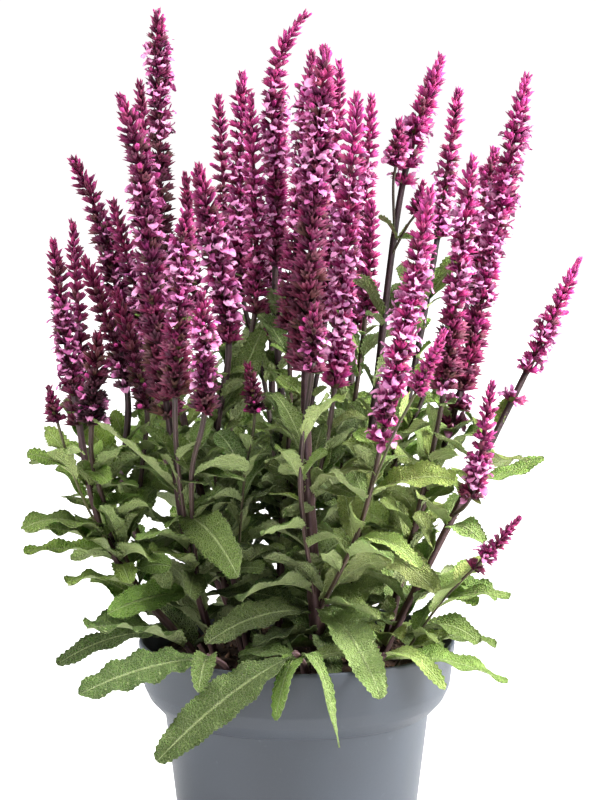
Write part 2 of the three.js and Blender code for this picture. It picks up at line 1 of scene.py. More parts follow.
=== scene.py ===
# A potted perennial salvia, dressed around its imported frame: square stems with waved leaves, whorled flower
# spikes, and a nursery pot full of soil. Lengths are millimetres until a mesh is made.
import json
import math
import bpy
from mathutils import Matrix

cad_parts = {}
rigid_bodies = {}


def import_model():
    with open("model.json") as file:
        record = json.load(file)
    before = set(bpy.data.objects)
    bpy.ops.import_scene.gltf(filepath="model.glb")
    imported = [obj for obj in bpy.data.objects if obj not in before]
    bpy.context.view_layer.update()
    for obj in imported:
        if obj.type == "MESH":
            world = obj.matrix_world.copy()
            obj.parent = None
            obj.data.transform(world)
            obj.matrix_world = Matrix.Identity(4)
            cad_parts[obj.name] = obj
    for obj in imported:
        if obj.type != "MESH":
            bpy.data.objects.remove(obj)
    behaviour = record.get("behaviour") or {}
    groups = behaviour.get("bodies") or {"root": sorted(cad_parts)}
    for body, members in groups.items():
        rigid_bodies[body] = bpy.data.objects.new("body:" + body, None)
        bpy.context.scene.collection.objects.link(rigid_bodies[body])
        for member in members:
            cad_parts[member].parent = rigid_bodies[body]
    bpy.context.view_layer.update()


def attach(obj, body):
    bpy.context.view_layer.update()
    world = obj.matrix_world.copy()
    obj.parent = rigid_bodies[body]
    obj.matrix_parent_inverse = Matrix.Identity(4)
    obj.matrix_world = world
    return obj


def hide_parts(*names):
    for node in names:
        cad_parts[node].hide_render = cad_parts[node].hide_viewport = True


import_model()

from types import SimpleNamespace

import bpy
import numpy as np

MM = 0.001

# ---- Driving dimensions, as in the solids ----
GAP = 0.3
POT_HEIGHT = 150
RIM_RADIUS = 95
FOOT_RADIUS = 67
COLLAR_BOTTOM = 108
BODY_TOP_RADIUS = 79.5
WALL = 1.6
DRAIN_COUNT = 4
DRAIN_RADIUS = 3.5
DRAIN_RING = 48
SOIL_TOP = 137
SOIL_BUMP = 1.6
STEM_DEPTH = 22

STEM_ROOT_RADIUS = 3.7
STEM_NECK_RADIUS = 2.3
BRANCH_RADIUS = 1.9
TWIG_RADIUS = 1.1

BUD_RADIUS = 6.8
FLORET_RADIUS = 11.6
SEED_RADIUS = 8.6
CONE_LENGTH = 17

LEAF_CLEAR = 4.2
STEM_CLEAR = 3.2
SPIKE_CLEAR = 3.0
POT_CLEAR = 2.0

# Each shoot: name, start (a place on the soil, or a shoot and a height on it), bend, foot of the spike,
# tip, the shares of the spike between which it blooms, girth, and for some a sway.
SHOOTS = [
    ["far_left", [-52, -32], [-110, -40, 215], [-130, -25, 300], [-142, -18, 390], [0.1, 0.6], 0.85],
    ["far_left_back", ["far_left", 198], [-126, -12, 262], [-128, 6, 300], [-134, 26, 398], [0, 0.1], 0.85],
    ["far_left_dark", ["far_left", 188], [-118, -46, 262], [-118, -56, 288], [-113, -60, 342], [0, 0.3], 1],
    ["far_left_twig", ["far_left", 207], [-124, -52, 245], [-137, -62, 290], [-142, -64, 312], [0, 0], 0.7],
    ["left_main", [-48, -8], [-65, -33, 215], [-75, -58, 302], [-101, -38, 475], [0.35, 0.8], 1.05, [5, 0]],
    ["left_pink", ["left_main", 196], [-68, -62, 262], [-69, -77, 307], [-62, -78, 412], [0.4, 0.9], 0.95],
    ["left_front", ["left_main", 183], [-60, -66, 262], [-52, -88, 300], [-53, -97, 368], [0.2, 0.7], 0.9],
    ["left_tall", [-32, 12], [-57, 20, 230], [-78, 22, 340], [-82, 15, 522], [0.6, 0.92], 0.9],
    ["left_outer", [-54, 8], [-102, 5, 230], [-101, 2, 300], [-126, 3, 380], [0, 0.2], 0.95],
    ["left_outer_side", ["left_outer", 215], [-90, -14, 268], [-88, -22, 292], [-106, -20, 362],
     [0, 0], 0.9],
    ["left_lean", [-30, 26], [-80, 52, 250], [-97, 52, 310], [-136, 50, 435], [0.1, 0.65], 0.95, [4, 0]],
    ["left_lean_twin", ["left_lean", 282], [-93, 48, 297], [-89, 45, 311], [-111, 38, 410],
     [0.1, 0.6], 0.9],
    ["left_back", ["left_lean", 198], [-82, 76, 295], [-86, 86, 340], [-96, 76, 478], [0, 0.2], 0.85],
    ["back_left_thin", [-20, 34], [-50, 78, 250], [-62, 98, 325], [-70, 112, 420], [0, 0.1], 0.8],
    ["back_left", ["back_left_thin", 192], [-40, 90, 285], [-42, 104, 340], [-49, 116, 470],
     [0.2, 0.5], 0.85],
    ["left_inner", [-28, -4], [-48, -8, 265], [-40, -16, 330], [-57, -27, 435], [0.1, 0.7], 1.05],
    ["front_bud", ["left_inner", 182], [-30, -50, 258], [-24, -66, 296], [-28, -70, 325], [0, 0], 0.75],
    ["left_inner_back", ["left_inner", 240], [-34, 2, 305], [-25, 6, 345], [-27, 8, 474], [0.2, 0.6], 0.85],
    ["middle_tall", [-12, 16], [-8, 30, 260], [-13, 34, 370], [5, 30, 520], [0.2, 0.7], 0.95, [-13, 0]],
    ["middle_back", ["middle_tall", 218], [-22, 48, 310], [-33, 56, 350], [-33, 62, 486],
     [0.25, 0.7], 0.95],
    ["middle_behind", ["middle_tall", 214], [6, 24, 275], [17, 14, 340], [25, 12, 494], [0.3, 0.75], 0.85],
    ["middle_front", ["middle_tall", 210], [-4, 10, 285], [-4, 0, 335], [9, 4, 498], [0.4, 0.85], 0.9],
    ["centre", [14, -24], [9, -42, 210], [5, -62, 320], [16, -52, 503], [0.5, 0.85], 1.1],
    ["centre_right", ["centre", 234], [16, -38, 268], [22, -28, 305], [35, -8, 475], [0.1, 0.75], 1],
    ["centre_front", ["centre", 173], [2, -78, 262], [9, -100, 330], [10, -106, 362], [0, 0.4], 0.85],
    ["front_right", ["centre", 170], [35, -60, 225], [50, -80, 290], [76, -66, 425], [0, 0.75], 1],
    ["front_right_bud", ["front_right", 252], [56, -96, 292], [66, -110, 314], [82, -121, 351],
     [0, 0], 0.75],
    ["front_low", [6, -66], [4, -76, 151], [-1, -92, 162], [-3, -96, 164], [0, 0], 0],
    ["left_low", [-38, -58], [-43, -66, 149], [-51, -79, 157], [-54, -84, 160], [0, 0], 0],
    ["right_front_low", [42, -56], [46, -64, 149], [50, -77, 157], [52, -83, 160], [0, 0], 0],
    ["right_bare", [30, 8], [45, 18, 275], [65, 24, 430], [86, 30, 496], [0, 0.35], 1],
    ["right_bare_bud", ["right_bare", 390], [57, 8, 424], [58, 2, 432], [60, -4, 460], [0, 0.3], 0.8],
    ["right_bare_seed", ["right_bare", 378], [66, 8, 398], [70, 0, 405], [74, -6, 424], [0, 0], 0.7],
    ["right_tall", [52, 12], [68, 6, 205], [97, -2, 300], [136, 20, 485], [0.3, 0.85], 1],
    ["right_inner", ["right_tall", 190], [82, -26, 280], [86, -40, 312], [101, -38, 440], [0.4, 0.8], 0.95],
    ["right_lean", [48, -14], [86, -20, 215], [136, 2, 310], [167, 8, 376], [0, 0.45], 0.9],
    ["right_lean_bud", ["right_lean", 228], [99, -44, 240], [103, -52, 252], [112, -57, 312],
     [0, 0.3], 0.85],
    ["right_low", [56, -34], [86, -62, 188], [106, -70, 211], [128, -76, 238], [0, 0.2], 0.65],
    ["back_right", [28, 36], [65, 92, 260], [88, 110, 380], [101, 114, 474], [0, 0.4], 0.85],
    ["back_right_side", ["back_right", 232], [92, 84, 315], [106, 74, 345], [121, 68, 440],
     [0.2, 0.8], 0.95],
    ["back", [-4, 40], [-14, 92, 250], [-16, 114, 315], [-10, 124, 470], [0.2, 0.6], 0.95],
    ["back_middle", [14, 38], [30, 74, 250], [36, 84, 325], [46, 82, 470], [0.3, 0.7], 0.9],
    ["middle_right", ["back_middle", 204], [38, 54, 305], [42, 44, 345], [45, 40, 410], [0, 0.2], 0.9],
]

# Leaves in set places: shoot, height of the base, tip, width, bow, roll.
SET_LEAVES = [
    ["front_low", 161, [-79, -112, 104], 25, 0.06, 50],
    ["left_low", 155, [-123, -106, 141], 25, 0.06, 36],
    ["left_low", 156, [-58, -104, 140], 15, 0.2, 0],
    ["far_left", 160, [-139, -62, 148], 16, 0.1, 20],
    ["far_left", 212, [-159, -48, 212], 16, 0.02, 15],
    ["far_left", 203, [-96, -72, 198], 14, 0.08, 0],
    ["far_left", 256, [-108, -66, 256], 14, 0.08, -20],
    ["far_left_twig", 262, [-156, -50, 270], 11, 0.05, 20],
    ["left_main", 181, [-114, -72, 180], 20, 0.06, 35],
    ["left_main", 183, [-19, -60, 204], 16, 0.1, -25],
    ["left_main", 232, [-33, -92, 206], 24, 0.12, -42],
    ["left_main", 248, [-114, -92, 296], 15, 0.03, 25],
    ["left_main", 250, [-30, -72, 258], 12, 0.1, -15],
    ["left_inner", 286, [-22, -6, 342], 19, -0.06, -70],
    ["centre", 172, [-54, -75, 162], 21, 0.1, 35],
    ["centre", 174, [48, -102, 138], 24, 0.14, -10],
    ["front_low", 156, [-12, -109, 127], 14, 0.3, 0],
    ["front_low", 156, [24, -112, 112], 10, 0.35, 0],
    ["right_front_low", 153, [122, -68, 139], 21, 0.08, -22],
    ["right_front_low", 154, [84, -98, 142], 12, 0.22, -10],
    ["right_front_low", 156, [68, -108, 128], 12, 0.25, 0],
    ["front_low", 151, [-34, -58, 152], 13, 0.12, 20],
    ["front_low", 151, [34, -72, 156], 12, 0.12, -20],
    ["centre", 158, [22, -84, 143], 15, 0.1, 0],
    ["centre", 236, [-6, -74, 243], 17, -0.05, -30],
    ["front_right", 248, [20, -92, 268], 13, -0.08, 20],
    ["front_right", 249, [90, -80, 260], 20, 0.1, -30],
    ["front_right", 217, [70, -92, 211], 13, 0.18, -25],
    ["front_right", 219, [27, -46, 252], 12, 0, 30],
    ["front_right", 200, [16, -84, 218], 10, 0.05, -40],
    ["right_bare", 202, [82, -44, 186], 22, 0.1, -35],
    ["right_low", 151, [118, -30, 152], 17, 0.12, -20],
    ["right_lean", 248, [147, 0, 260], 13, -0.05, -20],
    ["right_lean", 258, [81, -44, 281], 12, 0, 20],
    ["right_lean", 222, [69, -64, 248], 15, 0.05, 20],
    ["right_lean", 220, [108, -50, 217], 16, 0.15, -30],
    ["right_lean", 178, [106, -44, 180], 15, 0.15, -30],
    ["right_low", 194, [120, -50, 208], 14, 0.08, -15],
    ["right_low", 182, [122, -80, 192], 14, 0.1, -20],
    ["right_low", 168, [106, -58, 160], 16, 0.15, -30],
    ["right_low", 160, [80, -84, 166], 10, 0.12, 30],
    ["right_bare", 388, [74, 8, 386], 10, 0.1, -20],
    ["right_bare", 335, [42, -2, 345], 9, 0.1, 20],
    ["middle_tall", 350, [-37, 18, 368], 8, 0.05, 0],
]

# ---- Arithmetic ----
UP = np.array([0.0, 0.0, 1.0])
FOOT = 2 / 3  # a shoot's parameter at the foot of its spike
SWAY_PEAK = 9.48  # brings the highest value of s * s * s * (1 - s) to 1


def mix(a, b, t):
    return a + (b - a) * t


def unit(v):
    return v / np.linalg.norm(v, axis=-1, keepdims=True)


def smooth(low, high, x):
    """From 0 at low to 1 at high, which may be the smaller of the two."""
    t = np.clip((x - low) / (high - low), 0, 1)
    return t * t * (3 - 2 * t)


def turned(a, b, angle):
    """Directions a and b, square to each other, turned from a towards b, every row by its own angle."""
    angle = angle[:, None]
    return a * np.cos(angle) + b * np.sin(angle), b * np.cos(angle) - a * np.sin(angle)


def circle(count):
    """Even angles round a circle."""
    return 2 * math.pi * np.arange(count) / count


def linear(code):
    """A colour such as "64853f" as linear red, green and blue."""
    value = np.array([int(code[i:i + 2], 16) for i in (0, 2, 4)]) / 255
    return np.where(value <= 0.04045, value / 12.92, ((value + 0.055) / 1.055) ** 2.4)


def blend(a, b, t):
    """A colour between two that are given by their codes."""
    return mix(linear(a), linear(b), t)


class Draws:
    """The solids' repeatable random numbers from 0 to 1."""

    def __init__(self, seed):
        self.state = seed

    def __call__(self):
        self.state = (self.state * 1664525 + 1013904223) % 4294967296
        return self.state / 4294967296


class Curve:
    """A smooth curve through a start, a bend, a foot and a tip. Its parameter is FOOT at the foot."""

    def __init__(self, points, sway=(0, 0)):
        self.sway = np.array([*sway, 0.0])
        p = np.array(points, float)
        padded = np.vstack([(p[0] - p[1]) + p[0], p, (p[-1] - p[-2]) + p[-1]])
        self.pieces = np.array([self.cubic(*padded[i:i + 4]) for i in range(len(p) - 1)])

    @staticmethod
    def cubic(a, b, c, d):
        """The coefficients of the centripetal piece from b to c."""
        da, db, dc = [np.sum((q - p) ** 2) ** 0.25 for p, q in ((a, b), (b, c), (c, d))]
        start = ((b - a) / da - (c - a) / (da + db) + (c - b) / db) * db
        end = ((c - b) / db - (d - b) / (db + dc) + (d - c) / dc) * db
        return b, start, -3 * b + 3 * c - 2 * start - end, 2 * b - 2 * c + start + end

    def point(self, t):
        """The point at parameter t, pushed sideways by the sway in the middle of the spike."""
        place = np.clip(np.asarray(t, float), 0, 1) * len(self.pieces)
        i = np.minimum(np.floor(place).astype(int), len(self.pieces) - 1)
        w = (place - i)[..., None]
        c = self.pieces[i]
        s = np.clip((np.asarray(t, float) - FOOT) / (1 - FOOT), 0, 1)[..., None]
        swayed = c[..., 0, :] + self.sway * SWAY_PEAK * s * s * s * (1 - s)
        return swayed + c[..., 1, :] * w + c[..., 2, :] * w * w + c[..., 3, :] * w * w * w

    def tangent(self, t):
        t = np.asarray(t, float)
        return unit(self.point(t + 0.01) - self.point(t - 0.01))


def spokes(tangents, angles):
    """Directions square to the tangents, at angles round them."""
    across = unit(np.cross([1.0, 0.0, 0.0], tangents))
    other = np.cross(tangents, across)
    return across * np.cos(angles)[..., None] + other * np.sin(angles)[..., None]


# ---- Where everything grows, by the solids' own rules ----
LARGE_SEED = 40
LEAF_SEED = 500
YOUNG_SEED = 4000
TWIG_GIRTH = 0.82  # side shoots with a lesser girth are thin twigs
TIP_SHARE = 0.46  # the size of the last whorl
AXIS_STEP = 3
SPARE = 9  # how much further than its reach is looked at round a leaf
STALK = 0.08  # of a leaf's length
FOLD = math.radians(16)
NEAR_BASE = 0.3  # this share of a leaf may touch its own plant
LEAF_TRIES = 26
LEAF_STEP = 5.5  # between the points that are tested
TURN = math.radians(130)  # how far a leaf looks for room, at its last try
RAISE = math.radians(75)
SHORTEN = 0.35
NARROW = 0.25
REACH = 0.62  # from a leaf's middle, as a share of its length


def parameter_at(shoot, z):
    """The parameter at which a shoot that grows upwards reaches height z."""
    low, high = 0.0, 1.0
    for _ in range(30):
        middle = (low + high) / 2
        if shoot.curve.point(middle)[2] < z:
            low = middle
        else:
            high = middle
    return low


def point_at(shoot, z):
    return shoot.curve.point(parameter_at(shoot, z))


def make_shoots():
    shoots = {}
    for name, start, bend, foot, tip, bloom, girth, *sway in SHOOTS:
        parent = shoots[start[0]] if isinstance(start[0], str) else None
        root = point_at(parent, start[1]) if parent else [*start, SOIL_TOP]
        curve = Curve([root, bend, foot, tip], *sway)
        bend, foot, tip = np.array([bend, foot, tip], float)
        twig = 0 < girth < TWIG_GIRTH
        shoots[name] = SimpleNamespace(
            name=name, number=len(shoots), parent=parent, family=parent.family if parent else name,
            curve=curve, bloom=bloom, girth=girth, twig=twig,
            leafy=np.linalg.norm(root - bend) + np.linalg.norm(bend - foot),
            spike=np.linalg.norm(foot - tip),
            thick=TWIG_RADIUS if twig else BRANCH_RADIUS if parent else STEM_ROOT_RADIUS,
            thin=TWIG_RADIUS if twig else BRANCH_RADIUS if parent else STEM_NECK_RADIUS,
        )
    return shoots


SHOOT = make_shoots()
FAMILIES = [shoot.name for shoot in SHOOT.values() if not shoot.parent]


def spike_radius(shoot, s):
    """How far the calyces or florets reach from the axis, at share s of the spike."""
    cone = np.minimum(1, mix(TIP_SHARE, 1, shoot.spike * (1 - s) / CONE_LENGTH))
    low = s < shoot.bloom[0]
    high = s > shoot.bloom[1]
    reach = np.where(low, SEED_RADIUS, np.where(high, BUD_RADIUS, FLORET_RADIUS))
    return shoot.girth * cone * reach


def make_axes():
    """Points with a radius that leaves keep clear of: the axes of stems and spikes."""
    points, radii, spikes, families = [], [], [], []
    for shoot in SHOOT.values():
        steps = math.ceil((shoot.leafy + shoot.spike) / AXIS_STEP)
        t = np.arange(steps + 1) / steps
        s = (t - FOOT) / (1 - FOOT)
        if not shoot.girth:
            t, s = t[s <= 0], s[s <= 0]
        points.append(shoot.curve.point(t))
        radii.append(np.where(s < 0, shoot.thick + STEM_CLEAR, spike_radius(shoot, s) + SPIKE_CLEAR))
        spikes.append(s >= 0)
        families.append(np.full(len(t), FAMILIES.index(shoot.family)))
    lists = {"points": points, "radii": radii, "spikes": spikes, "families": families}
    return SimpleNamespace(**{name: np.concatenate(parts) for name, parts in lists.items()})


AXES = make_axes()


def outline(s):
    """Half the width of a leaf at share s of its length, as a share of its greatest half width."""
    u = np.maximum(0, (s - STALK) / (1 - STALK))
    return np.maximum(0.09, np.maximum(0, np.sin(np.pi * u ** 0.82)) ** 0.52)


def leaf_frame(leaf, s):
    """Points on a leaf's midrib, with the directions across and out of the blade."""
    s = np.asarray(s, float)[:, None]
    span = leaf.tip - leaf.base
    high = (leaf.base + leaf.tip) / 2 + UP * (2 * leaf.bow * np.linalg.norm(span))
    centre = leaf.base * (1 - s) * (1 - s) + high * 2 * s * (1 - s) + leaf.tip * s * s
    along = unit((high - leaf.base) * (1 - s) + (leaf.tip - high) * s)
    level = unit(np.cross(span, UP))
    out = np.cross(level, along)
    turn = math.radians(leaf.roll) * np.minimum(1, 2 * s)
    across = level * np.cos(turn) + out * np.sin(turn)
    return centre, across, np.cross(across, along)


def blade_points(leaf, s, side):
    centre, across, out = leaf_frame(leaf, s)
    w = (leaf.width / 2 * outline(s) * side)[:, None]
    return centre + across * w * math.cos(FOLD) + out * np.abs(w) * math.sin(FOLD)


def hits_pot(p):
    """Whether any of the points comes too close to the pot or the soil."""
    r = np.hypot(p[:, 0], p[:, 1])
    z = p[:, 2]
    outside = np.where(z > COLLAR_BOTTOM, RIM_RADIUS, mix(FOOT_RADIUS, BODY_TOP_RADIUS, z / COLLAR_BOTTOM))
    over_soil = z < SOIL_TOP + 2 * POT_CLEAR
    beside_pot = (z < POT_HEIGHT + POT_CLEAR) & (r < outside + POT_CLEAR)
    return np.where(r < RIM_RADIUS - 5, over_soil, beside_pot).any()


def near(a, b, limit):
    """Which points of a and b lie closer together than the limit."""
    return ((a[:, None] - b[None]) ** 2).sum(-1) < limit ** 2


def is_clear(grown, others, gap):
    """Whether a leaf keeps clear of the pot, the stems, the spikes and the leaves that grew before it."""
    leaf, points = grown.leaf, grown.points
    if hits_pot(points):
        return False
    far = grown.s >= NEAR_BASE
    reach = grown.reach + leaf.width + AXES.radii + SPARE
    close = ((AXES.points - grown.middle) ** 2).sum(-1) < reach ** 2
    own = AXES.families[close] == FAMILIES.index(leaf.family)
    touches = near(points, AXES.points[close], AXES.radii[close])
    touches &= ~own | (AXES.spikes[close] & far[:, None])
    if touches.any():
        return False
    for other in others:
        if np.linalg.norm(other.middle - grown.middle) > grown.reach + other.reach + gap:
            continue
        touches = near(points, other.points, gap)
        if other.leaf.family == leaf.family:
            touches &= far[:, None] & (other.s >= NEAR_BASE)
        if touches.any():
            return False
    return True


def offset(start, distance, heading, rise):
    level = distance * math.cos(rise)
    step = [level * math.cos(heading), level * math.sin(heading), distance * math.sin(rise)]
    return start + np.array(step)


def grow_leaf(leaf, grown, random, gap):
    """Adds the leaf in the first of several slightly turned and shortened places where it is clear."""
    span = leaf.tip - leaf.base
    long = np.linalg.norm(span)
    heading = math.atan2(span[1], span[0])
    pitch = math.asin(span[2] / long)
    for k in range(LEAF_TRIES):
        spread = k / LEAF_TRIES
        turn = heading + (random() - 0.5) * TURN * spread
        rise = pitch + (random() - 0.35) * RAISE * spread
        shorter = long * (1 - SHORTEN * spread)
        width = leaf.width * (1 - NARROW * spread)
        changes = {"tip": offset(leaf.base, shorter, turn, rise), "width": width}
        tried = SimpleNamespace(**{**vars(leaf), **changes})
        steps = max(5, math.ceil(np.linalg.norm(tried.tip - tried.base) / LEAF_STEP))
        s = np.repeat(np.arange(steps + 1) / steps, 5)
        points = blade_points(tried, s, np.tile([-1, -0.5, 0, 0.5, 1], steps + 1))
        middle = blade_points(tried, np.array([0.5]), np.array([0.0]))[0]
        attempt = SimpleNamespace(leaf=tried, points=points, s=s, middle=middle, reach=shorter * REACH)
        if is_clear(attempt, grown, gap):
            grown.append(attempt)
            return


def new_leaf(shoot, base, tip, width, bow, roll):
    tip = np.array(tip, float)
    return SimpleNamespace(base=base, tip=tip, width=width, bow=bow, roll=roll, family=shoot.family)


# How leaves grow in opposite pairs: first above the start of a shoot, stop below its spike, and step
# between pairs. rise and long are given at the height top and at the soil, and vary, aspect and bow from
# the least to the most. stray and tilt turn a leaf sideways and up, in radians.
LARGE = SimpleNamespace(
    first=14, stop=14, step=94, top=300, rise=(38, 4), long=(42, 72),
    vary=(0.8, 1.15), aspect=(0.34, 0.46), bow=(0.06, 0.18), roll=50, stray=0.5, tilt=0.5,
)
YOUNG = SimpleNamespace(
    first=9, stop=4, step=15, top=320, rise=(48, 20), long=(17, 55),
    vary=(0.6, 1.2), aspect=(0.38, 0.52), bow=(0.04, 0.18), roll=80, stray=0.8, tilt=1.1,
)
YOUNG_CLEAR = 2.0
# Shoots that are bare of young leaves above a height.
BARE_ABOVE = {"right_bare": 305, "right_bare_bud": 0, "centre_front": 330, "right_lean": 290}
DENSE = 0.7  # the share of the step low at the back of the plant
DENSE_BEHIND = 20
DENSE_BELOW = 270


def leaf_pair(shoot, base, turn, habit, random):
    """Opposite leaves, long and level near the soil and short and steep near the spike."""
    low = min(1, max(0, (habit.top - base[2]) / (habit.top - SOIL_TOP)))
    for side in (0, math.pi):
        heading = turn + side + (random() - 0.5) * habit.stray
        rise = math.radians(mix(*habit.rise, low)) + (random() - 0.5) * habit.tilt
        long = mix(*habit.long, low) * mix(*habit.vary, random())
        width = long * mix(*habit.aspect, random())
        bow = mix(*habit.bow, random())
        roll = (random() - 0.5) * habit.roll
        yield new_leaf(shoot, base, offset(base, long, heading, rise), width, bow, roll)


def paired_leaves(shoot, habit, random):
    found = []
    top = shoot.curve.point(FOOT)[2] - habit.stop
    if habit is YOUNG:
        top = min(top, BARE_ABOVE.get(shoot.name, math.inf))
    turn = random() * math.pi
    height = shoot.curve.point(0.0)[2] + habit.first
    while height < top:
        base = point_at(shoot, height)
        found += leaf_pair(shoot, base, turn, habit, random)
        turn += math.pi / 2
        step = habit.step
        if habit is YOUNG:
            dense = base[1] > DENSE_BEHIND and height < DENSE_BELOW
            step *= (DENSE if dense else 1) * mix(0.8, 1.2, random())
        height += step
    return found


# The foremost stems, which few young leaves may cover.
BARE_STEMS = ("centre", "centre_front", "left_main", "front_right", "right_lean", "far_left")
BARE_LINES = [SHOOT[name].curve.point(np.linspace(0, FOOT, 40)) for name in BARE_STEMS]
COVERED = 0.3  # the share of leaves that may do so
STEM_SIGHT = 6  # a leaf this near to a stem's middle hides it


def hides_a_stem(leaf):
    """Whether a leaf would stand in front of one of the bare stems."""
    spots = mix(leaf.base, leaf.tip, np.array([[0.3], [0.65], [1.0]]))
    for line in BARE_LINES:
        x, y = [np.interp(spots[:, 2], line[:, 2], line[:, axis]) for axis in (0, 1)]
        before = (np.abs(spots[:, 0] - x) < STEM_SIGHT) & (spots[:, 1] < y) & (spots[:, 2] < line[-1, 2])
        if before.any():
            return True
    return False


def all_leaves():
    """The large leaves, as in the solids, and then the young ones that find room between them."""
    grown = []
    wanted = [new_leaf(SHOOT[on], point_at(SHOOT[on], height), *form) for on, height, *form in SET_LEAVES]
    for shoot in SHOOT.values():
        if not shoot.twig:
            wanted += paired_leaves(shoot, LARGE, Draws(LARGE_SEED + shoot.number))
    for i, leaf in enumerate(wanted):
        grow_leaf(leaf, grown, Draws(LEAF_SEED + i), LEAF_CLEAR)
    for shoot in SHOOT.values():
        random = Draws(YOUNG_SEED + shoot.number)
        for leaf in paired_leaves(shoot, YOUNG, random):
            if random() < COVERED or not hides_a_stem(leaf):
                grow_leaf(leaf, grown, random, YOUNG_CLEAR)
    return [g.leaf for g in grown]


# ---- Meshes ----
def link(name, data, **settings):
    """A new object in the scene."""
    made = bpy.data.objects.new(name, data)
    for label, value in settings.items():
        setattr(made, label, value)
    bpy.context.collection.objects.link(made)
    return made


class Patchwork:
    """Points, faces and two colours a point, gathered for one object."""

    def __init__(self):
        self.points, self.quads, self.tris, self.tints, self.marks = [], [], [], [], []
        self.count = 0

    def add(self, points, quads, tint, tris=(), mark=(0, 0, 0)):
        """points (..., 3), with faces that count from the first of them."""
        for values, added in ((self.points, points), (self.tints, tint), (self.marks, mark)):
            values.append(np.array(np.broadcast_to(added, points.shape), float).reshape(-1, 3))
        for faces, added, sides in ((self.quads, quads, 4), (self.tris, tris, 3)):
            faces.append(np.array(added, int).reshape(-1, sides) + self.count)
        self.count += points.size // 3

    def add_copies(self, points, quads, tint, tris=()):
        """points (copies, points, 3) share the faces of one copy."""
        copies, size = points.shape[:2]
        steps = (np.arange(copies) * size)[:, None, None]
        quads = np.array(quads, int).reshape(-1, 4) + steps
        tris = np.array(tris, int).reshape(-1, 3) + steps
        self.add(points, quads, tint, tris)

    def make(self, name, material, nodes):
        """The gathered mesh as a piece that takes the place of the nodes."""
        points = np.concatenate(self.points) * MM
        quads, tris = np.concatenate(self.quads), np.concatenate(self.tris)
        corners = np.concatenate([quads.ravel(), tris.ravel()])
        starts = np.concatenate([np.arange(len(quads)) * 4, quads.size + np.arange(len(tris)) * 3])
        mesh = bpy.data.meshes.new(name)
        mesh.vertices.add(len(points))
        mesh.loops.add(len(corners))
        mesh.polygons.add(len(starts))
        mesh.vertices.foreach_set("co", points.astype(np.float32).ravel())
        mesh.loops.foreach_set("vertex_index", corners.astype(np.int32))
        mesh.polygons.foreach_set("loop_start", starts.astype(np.int32))
        mesh.polygons.foreach_set("use_smooth", np.ones(len(starts), bool))
        for label, values in (("tint", self.tints), ("mark", self.marks)):
            layer = mesh.attributes.new(label, "FLOAT_COLOR", "POINT")
            colours = np.ones((len(points), 4), np.float32)
            colours[:, :3] = np.concatenate(values)
            layer.data.foreach_set("color", colours.ravel())
        mesh.update(calc_edges=True)
        mesh.validate()
        mesh.materials.append(material)
        piece = link(name, mesh)
        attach(piece, "root")
        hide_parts(*nodes)
        return piece


def grid_quads(rows, columns, closed=False):
    """Quads between rows of points, each row of the given number of columns."""
    i = np.arange(rows - 1)[:, None]
    k = np.arange(columns if closed else columns - 1)[None]
    a = i * columns + k
    b = i * columns + (k + 1) % columns
    return np.stack([a, b, b + columns, a + columns], -1).reshape(-1, 4)


def add_rings(patchwork, rings, ends, tint):
    """A closed skin over rings (rows, sides, 3), with a cap from each outer ring to an end point."""
    rows, sides = rings.shape[:2]
    here = np.arange(sides)
    after = (here + 1) % sides
    last = (rows - 1) * sides
    end = np.full(sides, rows * sides)
    caps = np.vstack([np.stack([after, here, end], -1), np.stack([last + here, last + after, end + 1], -1)])
    tint = np.broadcast_to(tint, rings.shape)
    tints = np.vstack([tint.reshape(-1, 3), tint[0, :1], tint[-1, :1]])
    points = np.vstack([rings.reshape(-1, 3), ends])
    patchwork.add(points, grid_quads(rows, sides, closed=True), tints, caps)


def tube(patchwork, centres, tangents, radii, angles, tint):
    """A closed tube: radii (rings, sides) about the centres, tint (rings, sides or 1, 3)."""
    rings = centres[:, None] + spokes(tangents[:, None], angles[None]) * radii[..., None]
    add_rings(patchwork, rings, centres[[0, -1]], tint)


# ---- Leaves ----
BLADE = 0.32  # thickness
TWIST = 0.4
BASE_FOLD = math.radians(20)
TIP_FOLD = math.radians(7)
TOOTH = 0.55
SMALL_PITCH = 2.6  # of the teeth, on the smallest leaves
LARGE_PITCH = 3.2
RUFFLE = 0.085  # this and the next two are shares of the blade's width
PUFF = 0.03
RIB = 0.12
VEIN_PITCH = 6.5
VEIN_LEAN = 0.7  # by this share of the pitch a side vein ends further along than it starts
MOST_VEINS = 20  # a mark holds the number of side veins as a share of this


def leaf_tints(leaf, rng):
    """The colours of a leaf's upper and lower face, by where it grows: painted shade near the plant's axis
    and low on the left, painted light brightest low on the right.
    """
    x, y, z = (leaf.base + leaf.tip) / 2
    long = np.linalg.norm(leaf.tip - leaf.base)
    # painted shade: leaves near the plant's axis get a darker green, those further out a lighter one
    upper = blend("475a26", "668030", smooth(45, 130, math.hypot(x, y)))
    # painted light: leaves low on the right are mixed towards a bright yellow-green, less so at the far right
    # low down
    right = smooth(-10, 60, x) * smooth(330, 200, z) * smooth(60, 0, y)
    right = right * mix(1, 0.2, smooth(35, 80, x) * smooth(210, 170, z))
    # painted shade: leaves low on the left are mixed towards a darker green
    left = smooth(0, -40, x) * smooth(190, 150, z)
    small = smooth(34, 18, long)
    for colour, share in (("a0b468", 0.8 * right), ("3a4a1f", 0.95 * left), ("86a046", 0.4 * small)):
        upper = mix(upper, linear(colour), share)
    upper = upper * rng.uniform(0.65, 1.3) * rng.uniform([0.92, 0.97, 0.8], [1.12, 1.03, 1.1])
    return upper, mix(upper, linear("a8b27c"), 0.5)


